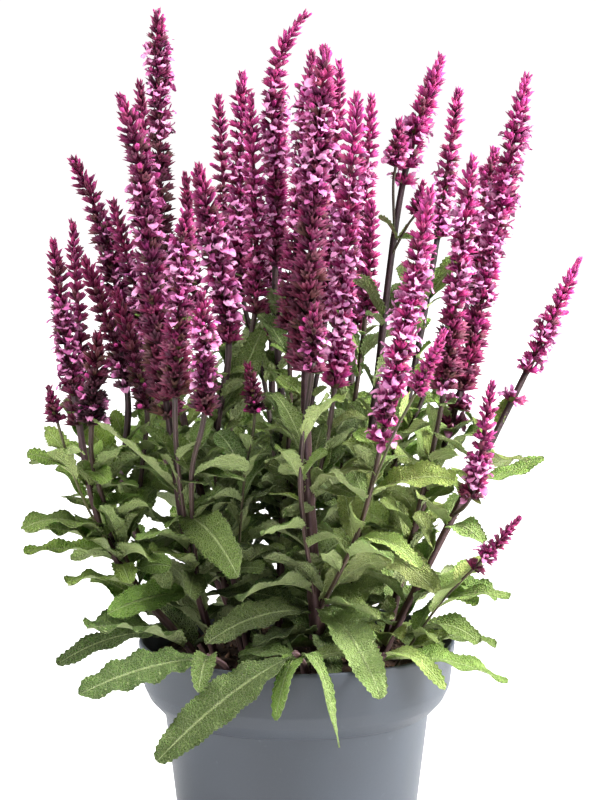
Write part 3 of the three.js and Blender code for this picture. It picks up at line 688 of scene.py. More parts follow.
def leaf_grid(long):
    """Shares along the blade, two rows to a tooth, and sides from -1 to 1 across it."""
    teeth = max(5, round(long / mix(SMALL_PITCH, LARGE_PITCH, smooth(20, 80, long))))
    half = 3 if long > 46 else 2
    even = np.linspace(-1, 1, 2 * half + 1)
    return np.linspace(0, 1, 2 * teeth + 1), np.sign(even) * np.abs(even) ** 0.8


def sheet_faces(rows, columns):
    """The faces of a grid of points, of a second grid under it, and of the rim between the two."""
    size = rows * columns
    quads = grid_quads(rows, columns)
    left = np.arange(rows - 1) * columns
    right = left + columns - 1
    first = np.arange(columns - 1)
    last = first + size - columns
    sides = ((left, left + columns), (right + columns, right), (first + 1, first), (last, last + 1))
    rim = [np.stack([a, b, b + size, a + size], -1) for a, b in sides]
    return np.vstack([quads[:, ::-1], quads + size, *rim])


def add_leaf(patchwork, leaf, rng):
    """A thin ruffled blade with rounded teeth, puckered between its side veins and ribbed below."""
    long = np.linalg.norm(leaf.tip - leaf.base)
    s, v = leaf_grid(long)
    rows, columns = len(s), len(v)
    shares, sides = [grid.ravel() for grid in np.meshgrid(s, v, indexing="ij")]
    outer = np.abs(sides)
    centre, across, out = leaf_frame(leaf, shares)
    across, out = turned(across, out, rng.normal(0, TWIST) * shares ** 2)
    tooth = np.where(np.arange(rows) % 2, 1, -1) * smooth(0.08, 0.2, s) * rng.uniform(0.5, 1.3, rows)
    tooth = tooth.repeat(columns) * outer ** 6
    blunt = outline(shares) ** mix(1.0, 0.7, shares)
    w = leaf.width / 2 * blunt * sides + TOOTH * tooth * np.sign(sides)
    fold = mix(BASE_FOLD, TIP_FOLD, shares) * rng.uniform(0.4, 1.9)
    phase = rng.uniform(0, 2 * math.pi, 2)[(sides > 0).astype(int)]
    waves = long / rng.uniform(16, 26)
    ruffle = RUFFLE * leaf.width * np.sin(2 * math.pi * waves * shares + phase) * outer ** 2
    ruffle = ruffle * smooth(0.08, 0.3, shares) + 0.1 * tooth
    veins = long / VEIN_PITCH
    vein = shares * veins - VEIN_LEAN * outer
    puff = PUFF * leaf.width * np.abs(np.sin(math.pi * vein)) * np.sin(math.pi * outer) ** 0.7
    rise = np.abs(w) * np.sin(fold) + ruffle + puff
    top = centre + across * (w * np.cos(fold))[:, None] + out * rise[:, None]
    rib = np.exp(-(sides / RIB) ** 2) * mix(0.9, 0.15, shares) * min(1, long / 60)
    bottom = top - out * (BLADE + rib)[:, None]
    tints = np.repeat(leaf_tints(leaf, rng), len(shares), 0)
    marks = np.stack([shares, outer, np.full_like(shares, veins / MOST_VEINS)], -1)
    faces = sheet_faces(rows, columns)
    patchwork.add(np.vstack([top, bottom]), faces, tints, mark=np.vstack([marks, marks]))


# ---- Stems ----
# How thick a stem is shown at its foot and under its spike, as shares of its thickness in the solids.
SLENDER = (0.72, 0.82)
STOUT = (1.5, 1.05)
SQUARE = circle(16)  # the angles of the points on a stem's edge, with a corner at every fourth


def add_stem(patchwork, shoot, rng):
    """A square stem with rounded corners and hollowed faces, thicker where leaves part from it."""
    steps = max(6, round(shoot.leafy / 5))
    t = FOOT * np.arange(steps + 1) / steps
    centres = shoot.curve.point(t)
    tangents = shoot.curve.tangent(t)
    if not shoot.parent:
        below = centres[0] - tangents[0] * STEM_DEPTH * np.array([[1.0], [0.5]])
        centres = np.vstack([below, centres])
        tangents = np.vstack([tangents[:1], tangents[:1], tangents])
        t = np.concatenate([[0, 0], t])
    thick = mix(shoot.thick, shoot.thin, t / FOOT)
    pairs = t * shoot.leafy / FOOT / (LARGE.step / 2)
    swell = 1 + 0.1 * np.maximum(0, np.cos(2 * math.pi * (pairs - 0.3))) ** 8
    square = 0.9 + 0.11 * np.cos(4 * SQUARE) - 0.03 * np.cos(8 * SQUARE)
    form = STOUT if shoot.name == "centre" else SLENDER
    radii = (thick * swell * mix(*form, t / FOOT))[:, None] * square[None]
    z = centres[:, 2:]
    mottle = np.clip(np.cumsum(rng.normal(0, 0.22, len(t))) * 0.5, -0.5, 0.5)[:, None] + 0.5
    purple = blend("1c0b14", "3c1d29", mottle * 0.7)
    # painted light: the stem is painted paler low down, below 300 mm, where the leaves shade it
    purple = mix(purple, linear("5c3a3e"), 0.45 * smooth(300, 200, z))
    green = 0.7 if shoot.twig else 0.25 if shoot.parent else 0.1
    face = mix(purple, linear("525b2a"), green * (1 - 0.4 * smooth(150, 320, z)) * (0.5 + mottle * 0.8))
    ridge = mix(face, linear("967c88"), 0.24)
    on_ridge = (0.5 + 0.5 * np.cos(4 * SQUARE))[None, :, None] ** 4
    streaks = rng.uniform(0.75, 1.25, (1, len(SQUARE), 1))
    tint = mix(face[:, None], ridge[:, None], on_ridge) * streaks
    tube(patchwork, centres, tangents, radii, SQUARE, tint)


# ---- The parts of a flower ----
def ring(angles, radius, height, lift=0.0):
    """Points round the third axis."""
    return np.stack([radius * np.sin(angles), radius * np.cos(angles) + lift, height + 0 * angles], -1)


def calyx_templates():
    """The same calyx open and shut, about 1 long: a foot, a waist and a mouth of five teeth and notches."""
    five, ten = circle(5), circle(10)
    is_tooth = np.arange(10) % 2 == 0
    shapes = []
    for waist, tooth, notch, middle in ((0.19, 0.29, 0.2, 0.55), (0.2, 0.05, 0.1, 0.9)):
        wide = np.where(is_tooth, tooth, notch)
        long = np.where(is_tooth, np.where(np.cos(ten) < 0, 1.1, 0.95), 0.72)
        parts = ring(five, 0.08, 0), ring(five, waist, 0.42), ring(ten, wide, long), [[0, 0, middle]]
        shapes.append(np.vstack(parts))
    quads = grid_quads(2, 5, closed=True)[:, ::-1]
    tris = []
    for k in range(5):
        here, after = 5 + k, 5 + (k + 1) % 5
        tooth, notch, other = 10 + 2 * k, 11 + 2 * k, 10 + (2 * k + 2) % 10
        tris += [[here, tooth, notch], [here, notch, after], [after, notch, other]]
        tris += [[20, notch, tooth], [20, other, notch]]
    return *shapes, quads, tris


CALYX_OPEN, CALYX_SHUT, CALYX_QUADS, CALYX_TRIS = calyx_templates()


def corolla_template():
    """A two-lipped corolla in millimetres: a tube, a hooded upper lip and a broad frilled lower lip."""
    around = 8
    points = [ring(circle(around), 0.85, 4.4), ring(circle(around), 1.5, 7.0, 0.25)]
    quads = [grid_quads(2, around, closed=True)[:, ::-1]]
    bend = np.linspace(-1, 1, 5)
    hood = [(8.6, 2.4, 1.4, 0.9), (10.3, 3.5, 1.5, 1.2), (11.5, 3.9, 0.9, 0.8)]
    lip = [(8.4, -1.3, 2.1, 0.5), (9.7, -2.4, 3.0, 1.1), (10.5, -3.9, 2.7, 0.9), (10.3, -5.0, 1.3, 0.5)]
    for c, b, wide, deep in hood:
        points.append(np.stack([wide * bend, b - deep * bend ** 2, c - 0.5 * bend ** 2], -1))
    for c, b, wide, frill in lip:
        lobes = frill * np.array([1.3, -0.2, 0.5, -0.2, 1.3])
        points.append(np.stack([-wide * bend, b + lobes, c - 0.9 * bend ** 2], -1))
    size = 2 * around
    for first, rows in ((np.arange(-2, 3) % around, hood), (np.arange(2, 7), lip)):
        previous = first + around
        for _ in rows:
            now = size + np.arange(5)
            quads.append(np.stack([previous[1:], previous[:-1], now[:-1], now[1:]], -1))
            previous, size = now, size + 5
    return np.vstack(points), np.vstack(quads)


COROLLA, COROLLA_QUADS = corolla_template()


def bract_template():
    """A small pointed bract, 1 long, cupped round the axis it stands on."""
    shares, sides = [grid.ravel() for grid in np.meshgrid(np.linspace(0, 1, 4), [-1, 0, 1], indexing="ij")]
    wide = 0.34 * np.sin(math.pi * np.minimum(1, shares * 0.86 + 0.14)) ** 0.8 * (1 - shares ** 4)
    cup = 0.3 * sides ** 2 * wide + 0.16 * shares ** 2
    return np.stack([wide * sides, cup, shares], -1), grid_quads(4, 3)


BRACT, BRACT_QUADS = bract_template()


def bud_template():
    """The bead of a closed corolla in a calyx 1 long."""
    sizes = ((0.08, 0.45), (0.15, 0.75), (0.16, 0.95), (0.08, 1.08))
    rings = [ring(circle(6), radius, height, 0.02) for radius, height in sizes]
    here = np.arange(6)
    cap = np.stack([18 + (here + 1) % 6, 18 + here, np.full(6, 24)], -1)
    return np.vstack([*rings, [[0, 0.02, 1.12]]]), grid_quads(4, 6, closed=True)[:, ::-1], cap


BUD, BUD_QUADS, BUD_TRIS = bud_template()

# ---- Flower spikes ----
# How dark each spike is, from -1 for the darkest burgundy to the brightest pinks at 1 and above.
TONES = {
    -1: "far_left_dark",
    -0.9: "left_outer_side front_bud",
    -0.8: "left_outer",
    -0.6: "far_left_twig back_left_thin",
    -0.5: "far_left left_front left_lean centre_front",
    -0.4: "far_left_back left_lean_twin left_tall left_back",
    -0.35: "left_main",
    -0.3: "back_left",
    -0.2: "left_pink",
    -0.15: "left_inner",
    0.1: "right_low",
    0.2: "middle_front",
    0.3: "left_inner_back middle_back",
    0.4: "middle_tall back_right back_right_side",
    0.5: "middle_behind right_lean_bud",
    0.7: "middle_right back_middle right_bare",
    0.8: "centre_right front_right_bud right_tall right_inner",
    0.9: "front_right",
    1.3: "right_lean",
}
# Single whorls on the bare stem, by their distance below the spike's foot.
LOWER_WHORLS = {
    7: "left_main front_right",
    8: "right_tall far_left left_lean centre_front",
    9: "right_lean_bud right_low right_inner far_left_back middle_right",
    10: "right_bare",
    17: "right_tall far_left",
    18: "right_lean",
}
PITCH_LOW = 6.0  # from whorl to whorl
PITCH_TOP = 3.4
YOUNG_CALYX = 6.4  # how long a calyx is, by its age
OPEN_CALYX = 7.0
SEEDY_CALYX = 8.4
OPEN_RISE = math.radians(30)
YOUNG_RISE = math.radians(50)
TIP_RISE = math.radians(28)  # more than that at the very tip
BRACT_LENGTH = 6.2
LOW_BRACT_RISE = math.radians(20)
TOP_BRACT_RISE = math.radians(66)
COROLLA_SHARE = 0.76  # of the calyces where a spike is in full bloom
CLUSTERING = 0.42
BUD_SHARE = 0.3


def keys_of(groups, name):
    """The keys under which a table of names holds this name."""
    return [key for key, names in groups.items() if name in names.split()]


def tone_of(shoot):
    """From 0 for burgundy to 1 for pink; spikes that no tone names are halfway."""
    return 0.5 + 0.5 * sum(keys_of(TONES, shoot.name))


def whorl_places(shoot):
    """Shares of the spike at which its whorls stand, below 0 under its foot and closer towards the tip."""
    per_mm = FOOT / (1 - FOOT) / shoot.leafy
    places = [-down * per_mm for down in keys_of(LOWER_WHORLS, shoot.name)]
    at = 1.5
    while at < shoot.spike - 1:
        places.append(at / shoot.spike)
        at += mix(PITCH_TOP, PITCH_LOW, smooth(4, 45, shoot.spike - at)) * mix(1.0, 0.9, shoot.twig)
    return np.array(places)


def floret_places(shoot, rng):
    """Every floret of a spike: its share of the length and its angle round the axis."""
    shares, angles = [], []
    turn = rng.uniform(0, math.pi)
    for s in whorl_places(shoot):
        count = 10 if s < 0.7 else 8 if s < 0.88 else 6
        shares.append(np.full(count, s))
        angles.append(turn + 2 * math.pi * (np.arange(count) + rng.uniform(-0.22, 0.22, count)) / count)
        turn += math.pi / count + rng.uniform(-0.1, 0.1)
    return np.concatenate(shares), np.concatenate(angles)


def stand(shoot, s, angle, rise):
    """Where things stand that lean out from a spike at shares, angles and rises: points of the axis, its
    direction, the way out from it, and frames across, towards the tip and outwards."""
    t = mix(FOOT, 1.0, s)
    axis = shoot.curve.tangent(t)
    radial = spokes(axis, angle)
    outwards, upwards = turned(radial, axis, rise)
    return shoot.curve.point(t), axis, radial, (np.cross(axis, radial), upwards, outwards)


def place(shapes, origins, frames):
    """Shapes (copies, points, 3) set at their origins, in frames of three directions."""
    a, b, c = [axis[:, None] for axis in frames]
    return origins[:, None] + shapes[..., 0:1] * a + shapes[..., 1:2] * b + shapes[..., 2:3] * c


def cone_share(shoot, s):
    """How full grown the whorls are near the tip of a spike, from 0 to 1."""
    return np.clip(shoot.spike * (1 - s) / CONE_LENGTH, 0, 1)


def youth(shoot, s):
    """From 0 where the florets open to 1 at the tip of the spike."""
    return smooth(shoot.bloom[1] - 0.05, 1, s)


def calyx_tints(shoot, s, rng):
    """Burgundy calyces that turn magenta towards the tip and brown and green at the faded foot."""
    tone = tone_of(shoot)
    young = youth(shoot, s)[:, None]
    faded = smooth(shoot.bloom[0] + 0.1, shoot.bloom[0] - 0.35, s)[:, None]
    body = blend("20040c", "9e296a", tone)
    tip = blend("5c0e30", "bc488a", tone)
    tint = mix(mix(body, tip, young), linear("4e2228"), 0.7 * faded)
    count = len(s)
    tint = tint * rng.uniform(0.4, 1.5, (count, 1)) * rng.uniform(0.88, 1.12, (count, 3))
    greener = (rng.random(count) < 0.2)[:, None] * 0.4
    return mix(tint, linear("4c4826"), greener * (1 - 0.6 * young))


def add_rachis(patchwork, shoot):
    t = mix(FOOT, 1.0, np.linspace(0, 1, max(6, round(shoot.spike / 4))))
    s = (t - FOOT) / (1 - FOOT)
    thick = mix(min(shoot.thin * 0.92, 2.3 * shoot.girth), 0.8, s)
    angles = SQUARE[::2]
    radii = thick[:, None] * (0.95 + 0.08 * np.cos(4 * angles))
    tint = blend("36141f", "5c1c3a", s[:, None, None])
    tube(patchwork, shoot.curve.point(t), shoot.curve.tangent(t), radii, angles, tint)


def add_spike(patchwork, shoot, rng):
    add_rachis(patchwork, shoot)
    s, angle = floret_places(shoot, rng)
    count = len(s)
    young = youth(shoot, s)
    seedy = smooth(shoot.bloom[0] + 0.05, shoot.bloom[0] - 0.15, s)
    full = cone_share(shoot, s)
    rise = mix(OPEN_RISE, YOUNG_RISE, young) + TIP_RISE * (1 - full)
    foot, axis, radial, frames = stand(shoot, s, angle, rise + rng.uniform(-0.3, 0.3, count))
    plump = shoot.girth * mix(1.2, 1.07, tone_of(shoot))
    long = mix(mix(OPEN_CALYX, YOUNG_CALYX, young), SEEDY_CALYX, seedy)
    size = long * plump * mix(0.6, 1, full) * rng.uniform(0.82, 1.15, count)
    origins = foot + radial * (0.9 * plump) + axis * rng.uniform(-1.0, 1.0, (count, 1))
    shut = np.clip(young * 1.4 + rng.uniform(-0.2, 0.2, count), 0, 1)[:, None, None]
    shapes = mix(CALYX_OPEN[None], CALYX_SHUT[None], shut) * size[:, None, None]
    tint = calyx_tints(shoot, s, rng)
    # painted shade: each calyx is darker towards its foot, deep in the spike, and the sunken middle point of
    # its mouth is darkened
    along = np.clip(CALYX_OPEN[:, 2], 0, 1)[None, :, None]
    inside = (np.arange(len(CALYX_OPEN)) == len(CALYX_OPEN) - 1)[None, :, None]
    tints = tint[:, None] * mix(0.45, 1.25, along) * np.where(inside, 0.3, 1)
    tints = mix(tints, linear("d092ab"), 0.22 * (along > 0.9) * rng.random((count, 1, 1)))
    patchwork.add_copies(place(shapes, origins, frames), CALYX_QUADS, tints, CALYX_TRIS)
    add_bracts(patchwork, shoot, rng)
    add_corollas(patchwork, shoot, s, angle, origins, frames, rng)
    add_buds(patchwork, shoot, s, origins, frames, size, rng)


def add_bracts(patchwork, shoot, rng):
    """A pair of bracts under each whorl; those below the spike's foot are large and green."""
    s = np.repeat(whorl_places(shoot), 2)
    count = len(s)
    turn = np.repeat(rng.uniform(0, math.pi, count // 2), 2) + np.tile([0, math.pi], count // 2)
    rise = mix(LOW_BRACT_RISE, TOP_BRACT_RISE, s) + rng.uniform(-0.2, 0.2, count)
    foot, axis, radial, frames = stand(shoot, s, turn, rise)
    size = BRACT_LENGTH * shoot.girth * mix(0.6, 1, cone_share(shoot, s)) * rng.uniform(0.8, 1.2, count)
    shapes = BRACT[None] * (size * np.where(s < 0, 1.9, 1))[:, None, None]
    green = blend("525a2e", "4c2a33", rng.random((count, 1)) * (s > 0)[:, None])
    pink = blend("8a2a54", "c04680", tone_of(shoot))
    tint = mix(green, pink, smooth(0.3, 0.8, s)[:, None])
    origins = foot + radial * 0.8 - axis * 1.2
    patchwork.add_copies(place(shapes, origins, frames), BRACT_QUADS, tint[:, None])


def add_corollas(patchwork, shoot, s, angle, origins, frames, rng):
    """Open florets where the spike blooms, in ragged clusters, each turned and nodding its own way."""
    start, end = shoot.bloom
    if end <= start:
        return
    tone = tone_of(shoot)
    share = smooth(start - 0.08, start + 0.08, s) * smooth(end + 0.06, end - 0.1, s)
    share = np.where(s < 0, tone ** 2, share)
    phase = rng.uniform(0, 2 * math.pi, 3)
    clusters = np.sin(angle + phase[0] + 2 * np.sin(7 * s + phase[1])) + 0.6 * np.sin(19 * s + phase[2])
    chosen = rng.random(len(s)) < share * (COROLLA_SHARE + CLUSTERING * clusters)
    count = int(chosen.sum())
    a, b, c = [axis[chosen] for axis in frames]
    a, b = turned(a, b, rng.normal(0, 0.5, count))
    b, c = turned(b, c, rng.uniform(-0.65, 0.3, count))
    scale = shoot.girth * rng.uniform(0.8, 1.08, count)[:, None, None]
    lips = smooth(6.6, 9.6, COROLLA[:, 2])[None, :, None]
    shapes = COROLLA[None] * rng.uniform([0.8, 0.8, 0.86], [1.15, 1.15, 1.0], (count, 3))[:, None]
    shapes = (shapes + lips * rng.normal(0, 0.28, (count, len(COROLLA), 3))) * scale
    pink = blend("b4488e", "d07cb2", tone)
    tint = pink * rng.uniform(0.7, 1.25, (count, 1)) * rng.uniform(0.93, 1.07, (count, 3))
    pale = mix(tint, linear("f4c4e0"), rng.uniform(0, 0.5, (count, 1)))
    tints = mix(tint[:, None] * [0.6, 0.35, 0.5], pale[:, None], lips)
    patchwork.add_copies(place(shapes, origins[chosen], (a, b, c)), COROLLA_QUADS, tints)


def add_buds(patchwork, shoot, s, origins, frames, size, rng):
    """Closed corollas that show as pink beads in some calyces just above the open ones."""
    end = shoot.bloom[1]
    share = BUD_SHARE * smooth(end - 0.15, end, s) * smooth(end + 0.4, end + 0.05, s)
    chosen = rng.random(len(s)) < share
    count = int(chosen.sum())
    if count:
        shapes = BUD[None] * (size[chosen] * rng.uniform(0.85, 1.1, count))[:, None, None]
        tint = linear("b03c7e") * rng.uniform(0.7, 1.2, (count, 1))
        spots = place(shapes, origins[chosen], [axis[chosen] for axis in frames])
        patchwork.add_copies(spots, BUD_QUADS, tint[:, None], BUD_TRIS)


# ---- Materials ----
class Look:
    """A material whose nodes are added by short calls."""

    def __init__(self, name, roughness, **fixed):
        self.material = bpy.data.materials.new(name)
        self.material.use_nodes = True
        self.tree = self.material.node_tree
        self.shader = self.tree.nodes["Principled BSDF"]
        self.shader.inputs["Roughness"].default_value = roughness
        for label, value in fixed.items():
            self.shader.inputs[label.replace("_", " ")].default_value = value

    def join(self, value, socket):
        if isinstance(value, bpy.types.NodeSocket):
            self.tree.links.new(value, socket)
        elif isinstance(value, (tuple, list, np.ndarray)):
            socket.default_value = [*value, 1.0][:len(socket.default_value)]
        else:
            socket.default_value = value

    def set(self, label, value):
        self.join(value, self.shader.inputs[label])

    def node(self, kind, inputs, **settings):
        """The outputs of a new node; inputs are values or sockets by their name or number."""
        node = self.tree.nodes.new(f"ShaderNode{kind}")
        for name, value in settings.items():
            setattr(node, name, value)
        for key, value in inputs.items():
            self.join(value, node.inputs[key])
        return node.outputs

    def attribute(self, name):
        return self.node("Attribute", {}, attribute_name=name)["Color"]

    def math(self, operation, a, b=0.0):
        return self.node("Math", {0: a, 1: b}, operation=operation)[0]

    def times(self, a, b):
        return self.math("MULTIPLY", a, b)

    def span(self, value, low, high, start=0.0, end=1.0):
        """From start, where the value is low, smoothly to end, where it is high."""
        inputs = dict(enumerate((value, low, high, start, end)))
        return self.node("MapRange", inputs, interpolation_type="SMOOTHSTEP")[0]

    def mix(self, share, a, b, blend="MIX"):
        return self.node("Mix", {0: share, 6: a, 7: b}, data_type="RGBA", blend_type=blend)[2]

    def shaded(self, colour, share, factor):
        """The colour, multiplied by factor where share is 1."""
        return self.mix(share, colour, self.mix(1.0, colour, factor, "MULTIPLY"))

    def place(self):
        return self.node("TexCoord", {})["Object"]

    def noise(self, scale, detail=3.0, roughness=0.5):
        inputs = {"Vector": self.place(), "Scale": scale, "Detail": detail, "Roughness": roughness}
        return self.node("TexNoise", inputs)["Fac"]

    def bump(self, height, depth, strength):
        inputs = {"Strength": strength, "Distance": depth, "Height": height}
        self.set("Normal", self.node("Bump", inputs)[0])


def foliage_look():
    """Leaves and stems, veined, puckered and finely hairy. Marks: share along, share across, side veins."""
    look = Look(
        "foliage", 0.6, Sheen_Weight=0.05, Sheen_Roughness=0.5, Specular_IOR_Level=0.18,
        Subsurface_Weight=0.1, Subsurface_Radius=(0.4, 0.8, 0.2), Subsurface_Scale=0.002,
    )
    colour = look.attribute("tint")
    share, across, veins = look.node("SeparateColor", {0: look.attribute("mark")})[:3]
    is_blade = look.span(veins, 0.0, 0.02)
    rib = look.times(look.span(across, 0.1, 0.015), is_blade)
    along = look.times(share, look.times(veins, MOST_VEINS))
    flow = look.math("SUBTRACT", along, look.times(across, VEIN_LEAN))
    wave = look.math("ABSOLUTE", look.math("SINE", look.times(flow, math.pi)))
    vein = look.times(look.times(look.span(wave, 0.16, 0.0), look.span(across, 1.0, 0.5)), is_blade)
    inputs = {"Vector": look.place(), "Scale": 620.0}
    net = look.node("TexVoronoi", inputs, feature="DISTANCE_TO_EDGE")["Distance"]
    fine = look.times(look.span(net, 0.14, 0.0), is_blade)
    pale = look.mix(0.6, colour, linear("b4c088"))
    for line, strength in ((rib, 0.7), (vein, 0.35), (fine, 0.22)):
        colour = look.mix(look.times(line, strength), colour, pale)
    broad = look.noise(60.0)
    small = look.noise(800.0, 4.0, 0.65)
    colour = look.shaded(colour, look.span(broad, 0.35, 0.75, 0.0, 0.45), (0.6, 0.68, 0.5))
    colour = look.shaded(colour, look.span(small, 0.4, 0.75, 0.0, 0.35), (1.5, 1.45, 1.5))
    look.set("Base Color", colour)
    look.set("Roughness", look.span(broad, 0.3, 0.7, 0.5, 0.68))
    veined = look.math("MAXIMUM", rib, look.times(vein, 0.7))
    pucker = look.times(look.math("SUBTRACT", look.span(net, 0.0, 0.3), veined), is_blade)
    look.bump(look.math("ADD", pucker, look.times(small, 0.5)), 0.0008, 1.0)
    return look.material


def flower_look():
    """Calyces, bracts and corollas: ribbed and velvety."""
    look = Look(
        "flower", 0.6, Sheen_Weight=0.03, Sheen_Roughness=0.4, Specular_IOR_Level=0.1,
        Subsurface_Weight=0.1, Subsurface_Radius=(1.0, 0.4, 0.6), Subsurface_Scale=0.0015,
    )
    broad = look.noise(160.0)
    small = look.noise(1500.0, 3.0, 0.6)
    colour = look.shaded(look.attribute("tint"), look.span(broad, 0.35, 0.7, 0.0, 0.5), (0.55, 0.45, 0.55))
    look.set("Base Color", look.shaded(colour, look.span(small, 0.45, 0.75, 0.0, 0.35), (1.5, 1.6, 1.5)))
    look.set("Roughness", look.span(small, 0.3, 0.7, 0.45, 0.65))
    look.bump(small, 0.0003, 0.5)
    return look.material


def pot_look():
    """Grey-blue moulded plastic with a satin grain, faint flow marks and dusty scuffs."""
    look = Look("pot_plastic", 0.5, Specular_IOR_Level=0.35)
    grain = look.noise(2600.0, 2.0, 0.6)
    cloud = look.noise(9.0)
    dust = look.noise(120.0, 6.0, 0.7)
    base = look.mix(look.span(cloud, 0.3, 0.7), linear("32363d"), linear("383e46"))
    base = look.mix(look.span(dust, 0.62, 0.8, 0.0, 0.25), base, linear("85898e"))
    look.set("Base Color", look.mix(look.span(grain, 0.4, 0.7, 0.0, 0.12), base, linear("4e545c")))
    look.set("Roughness", look.span(cloud, 0.3, 0.7, 0.46, 0.56))
    look.bump(grain, 0.00025, 0.35)
    return look.material


def soil_look():
    """Dark peat with paler fibres, and painted shade in the hollows of its bump."""
    look = Look("soil", 0.92, Specular_IOR_Level=0.2)
    tint = look.attribute("tint")
    crumbs = look.noise(420.0, 6.0, 0.7)
    fibres = look.noise(1400.0, 4.0, 0.7)
    # painted shade: darker where the crumbs' noise, which is also the bump's height, is low
    dark = look.mix(1.0, tint, (0.45, 0.4, 0.38), "MULTIPLY")
    colour = look.mix(look.span(crumbs, 0.35, 0.65), dark, tint)
    look.set("Base Color", look.mix(look.span(fibres, 0.6, 0.8, 0.0, 0.5), colour, linear("7c6048")))
    look.set("Roughness", look.span(crumbs, 0.3, 0.7, 0.98, 0.8))
    look.bump(crumbs, 0.0012, 0.8)
    return look.material


# ---- Pot and soil ----
POT_SEGMENTS = 128
SOIL_SEGMENTS = 96
CRUMB_COUNT = 1200


def lathe(patchwork, profile, segments, tint):
    """A closed profile of [radius, height], from axis to axis, turned about +Z."""
    angles = circle(segments)
    start, *outer, end = profile
    r, z = np.array(outer, float).T[..., None]
    rings = np.stack([r * np.cos(angles), r * np.sin(angles), z + 0 * angles], -1)
    add_rings(patchwork, rings, [[0, 0, start[1]], [0, 0, end[1]]], tint)


def rounded(profile, radius, steps=4):
    """The profile with every corner between its ends turned into a small arc."""
    p = np.array(profile, float)
    found = [p[0]]
    for before, here, after in zip(p, p[1:], p[2:]):
        back, ahead = before - here, after - here
        cut = min(radius, 0.45 * np.linalg.norm(back), 0.45 * np.linalg.norm(ahead))
        start, end = here + unit(back) * cut, here + unit(ahead) * cut
        for t in np.linspace(0, 1, steps):
            found.append(start * (1 - t) ** 2 + here * 2 * t * (1 - t) + end * t * t)
    return [*found, p[-1]]


def add_pot(patchwork):
    outside = [
        [0, 0],
        [FOOT_RADIUS - 8, 0],
        [FOOT_RADIUS, 0],
        [BODY_TOP_RADIUS, COLLAR_BOTTOM - 0.5],
        [BODY_TOP_RADIUS + 2, COLLAR_BOTTOM],
        [RIM_RADIUS - 6.5, COLLAR_BOTTOM + 7.5],
        [RIM_RADIUS - 3, COLLAR_BOTTOM + 15],
        [RIM_RADIUS, POT_HEIGHT - 2],
        [RIM_RADIUS - 0.6, POT_HEIGHT],
    ]
    inside = [
        [RIM_RADIUS - 2 * WALL + 0.6, POT_HEIGHT],
        [RIM_RADIUS - 2 * WALL - 1.6, COLLAR_BOTTOM + 18],
        [RIM_RADIUS - 6.5 - WALL, COLLAR_BOTTOM + 9.5],
        [BODY_TOP_RADIUS - WALL, COLLAR_BOTTOM + 1],
        [FOOT_RADIUS - WALL, WALL],
        [0, WALL],
    ]
    lathe(patchwork, rounded(outside + inside, 1.1), POT_SEGMENTS, linear("7d8692"))


def drill_drains(pot):
    """Cuts the drain holes through the pot's floor."""
    for i in range(DRAIN_COUNT):
        angle = 2 * math.pi * (i + 0.25) / DRAIN_COUNT
        at = (DRAIN_RING * math.cos(angle) * MM, DRAIN_RING * math.sin(angle) * MM, 0)
        size = {"radius": DRAIN_RADIUS * MM, "depth": 8 * WALL * MM}
        bpy.ops.mesh.primitive_cylinder_add(vertices=24, location=at, **size)
        drill = bpy.context.object
        cut = pot.modifiers.new("drain", "BOOLEAN")
        cut.object = drill
        cut.operation = "DIFFERENCE"
        cut.solver = "EXACT"
        graph = bpy.context.evaluated_depsgraph_get()
        made = bpy.data.meshes.new_from_object(pot.evaluated_get(graph))
        pot.modifiers.clear()
        pot.data = made
        bpy.data.objects.remove(drill)


def soil_height(x, y):
    lump = np.sin(x * 0.31 + 1) * np.cos(y * 0.27) + np.sin(x * 0.13 - y * 0.19)
    fine = np.sin(x * 0.9 + 2 * np.sin(y * 0.7)) * np.cos(y * 1.1 + np.sin(x * 0.5))
    return SOIL_TOP + SOIL_BUMP * 0.5 * lump + 0.5 * fine


def add_soil(patchwork, rng):
    inset = WALL + GAP + 0.3
    top = RIM_RADIUS - 2 * WALL - 1.4 - GAP
    profile = [
        [0, WALL + GAP],
        [FOOT_RADIUS - inset, WALL + GAP],
        [BODY_TOP_RADIUS - inset, COLLAR_BOTTOM + 1 + GAP],
        [RIM_RADIUS - 7 - inset, COLLAR_BOTTOM + 10],
        [top - 1, SOIL_TOP - 9],
        *[[r, SOIL_TOP] for r in np.linspace(top - 1, 1.5, 32)],
        [0, SOIL_TOP],
    ]
    lathe(patchwork, profile, SOIL_SEGMENTS, linear("3a2a20"))
    points = patchwork.points[0]
    x, y, z = points.T
    rough = rng.normal(0, 0.35, len(points))
    sink = 1.2 * smooth(top - 6, top - 1, np.hypot(x, y))
    points[:, 2] = np.where(z > SOIL_TOP - 1, soil_height(x, y) + rough - sink, z)
    add_crumbs(patchwork, top - 3, rng)


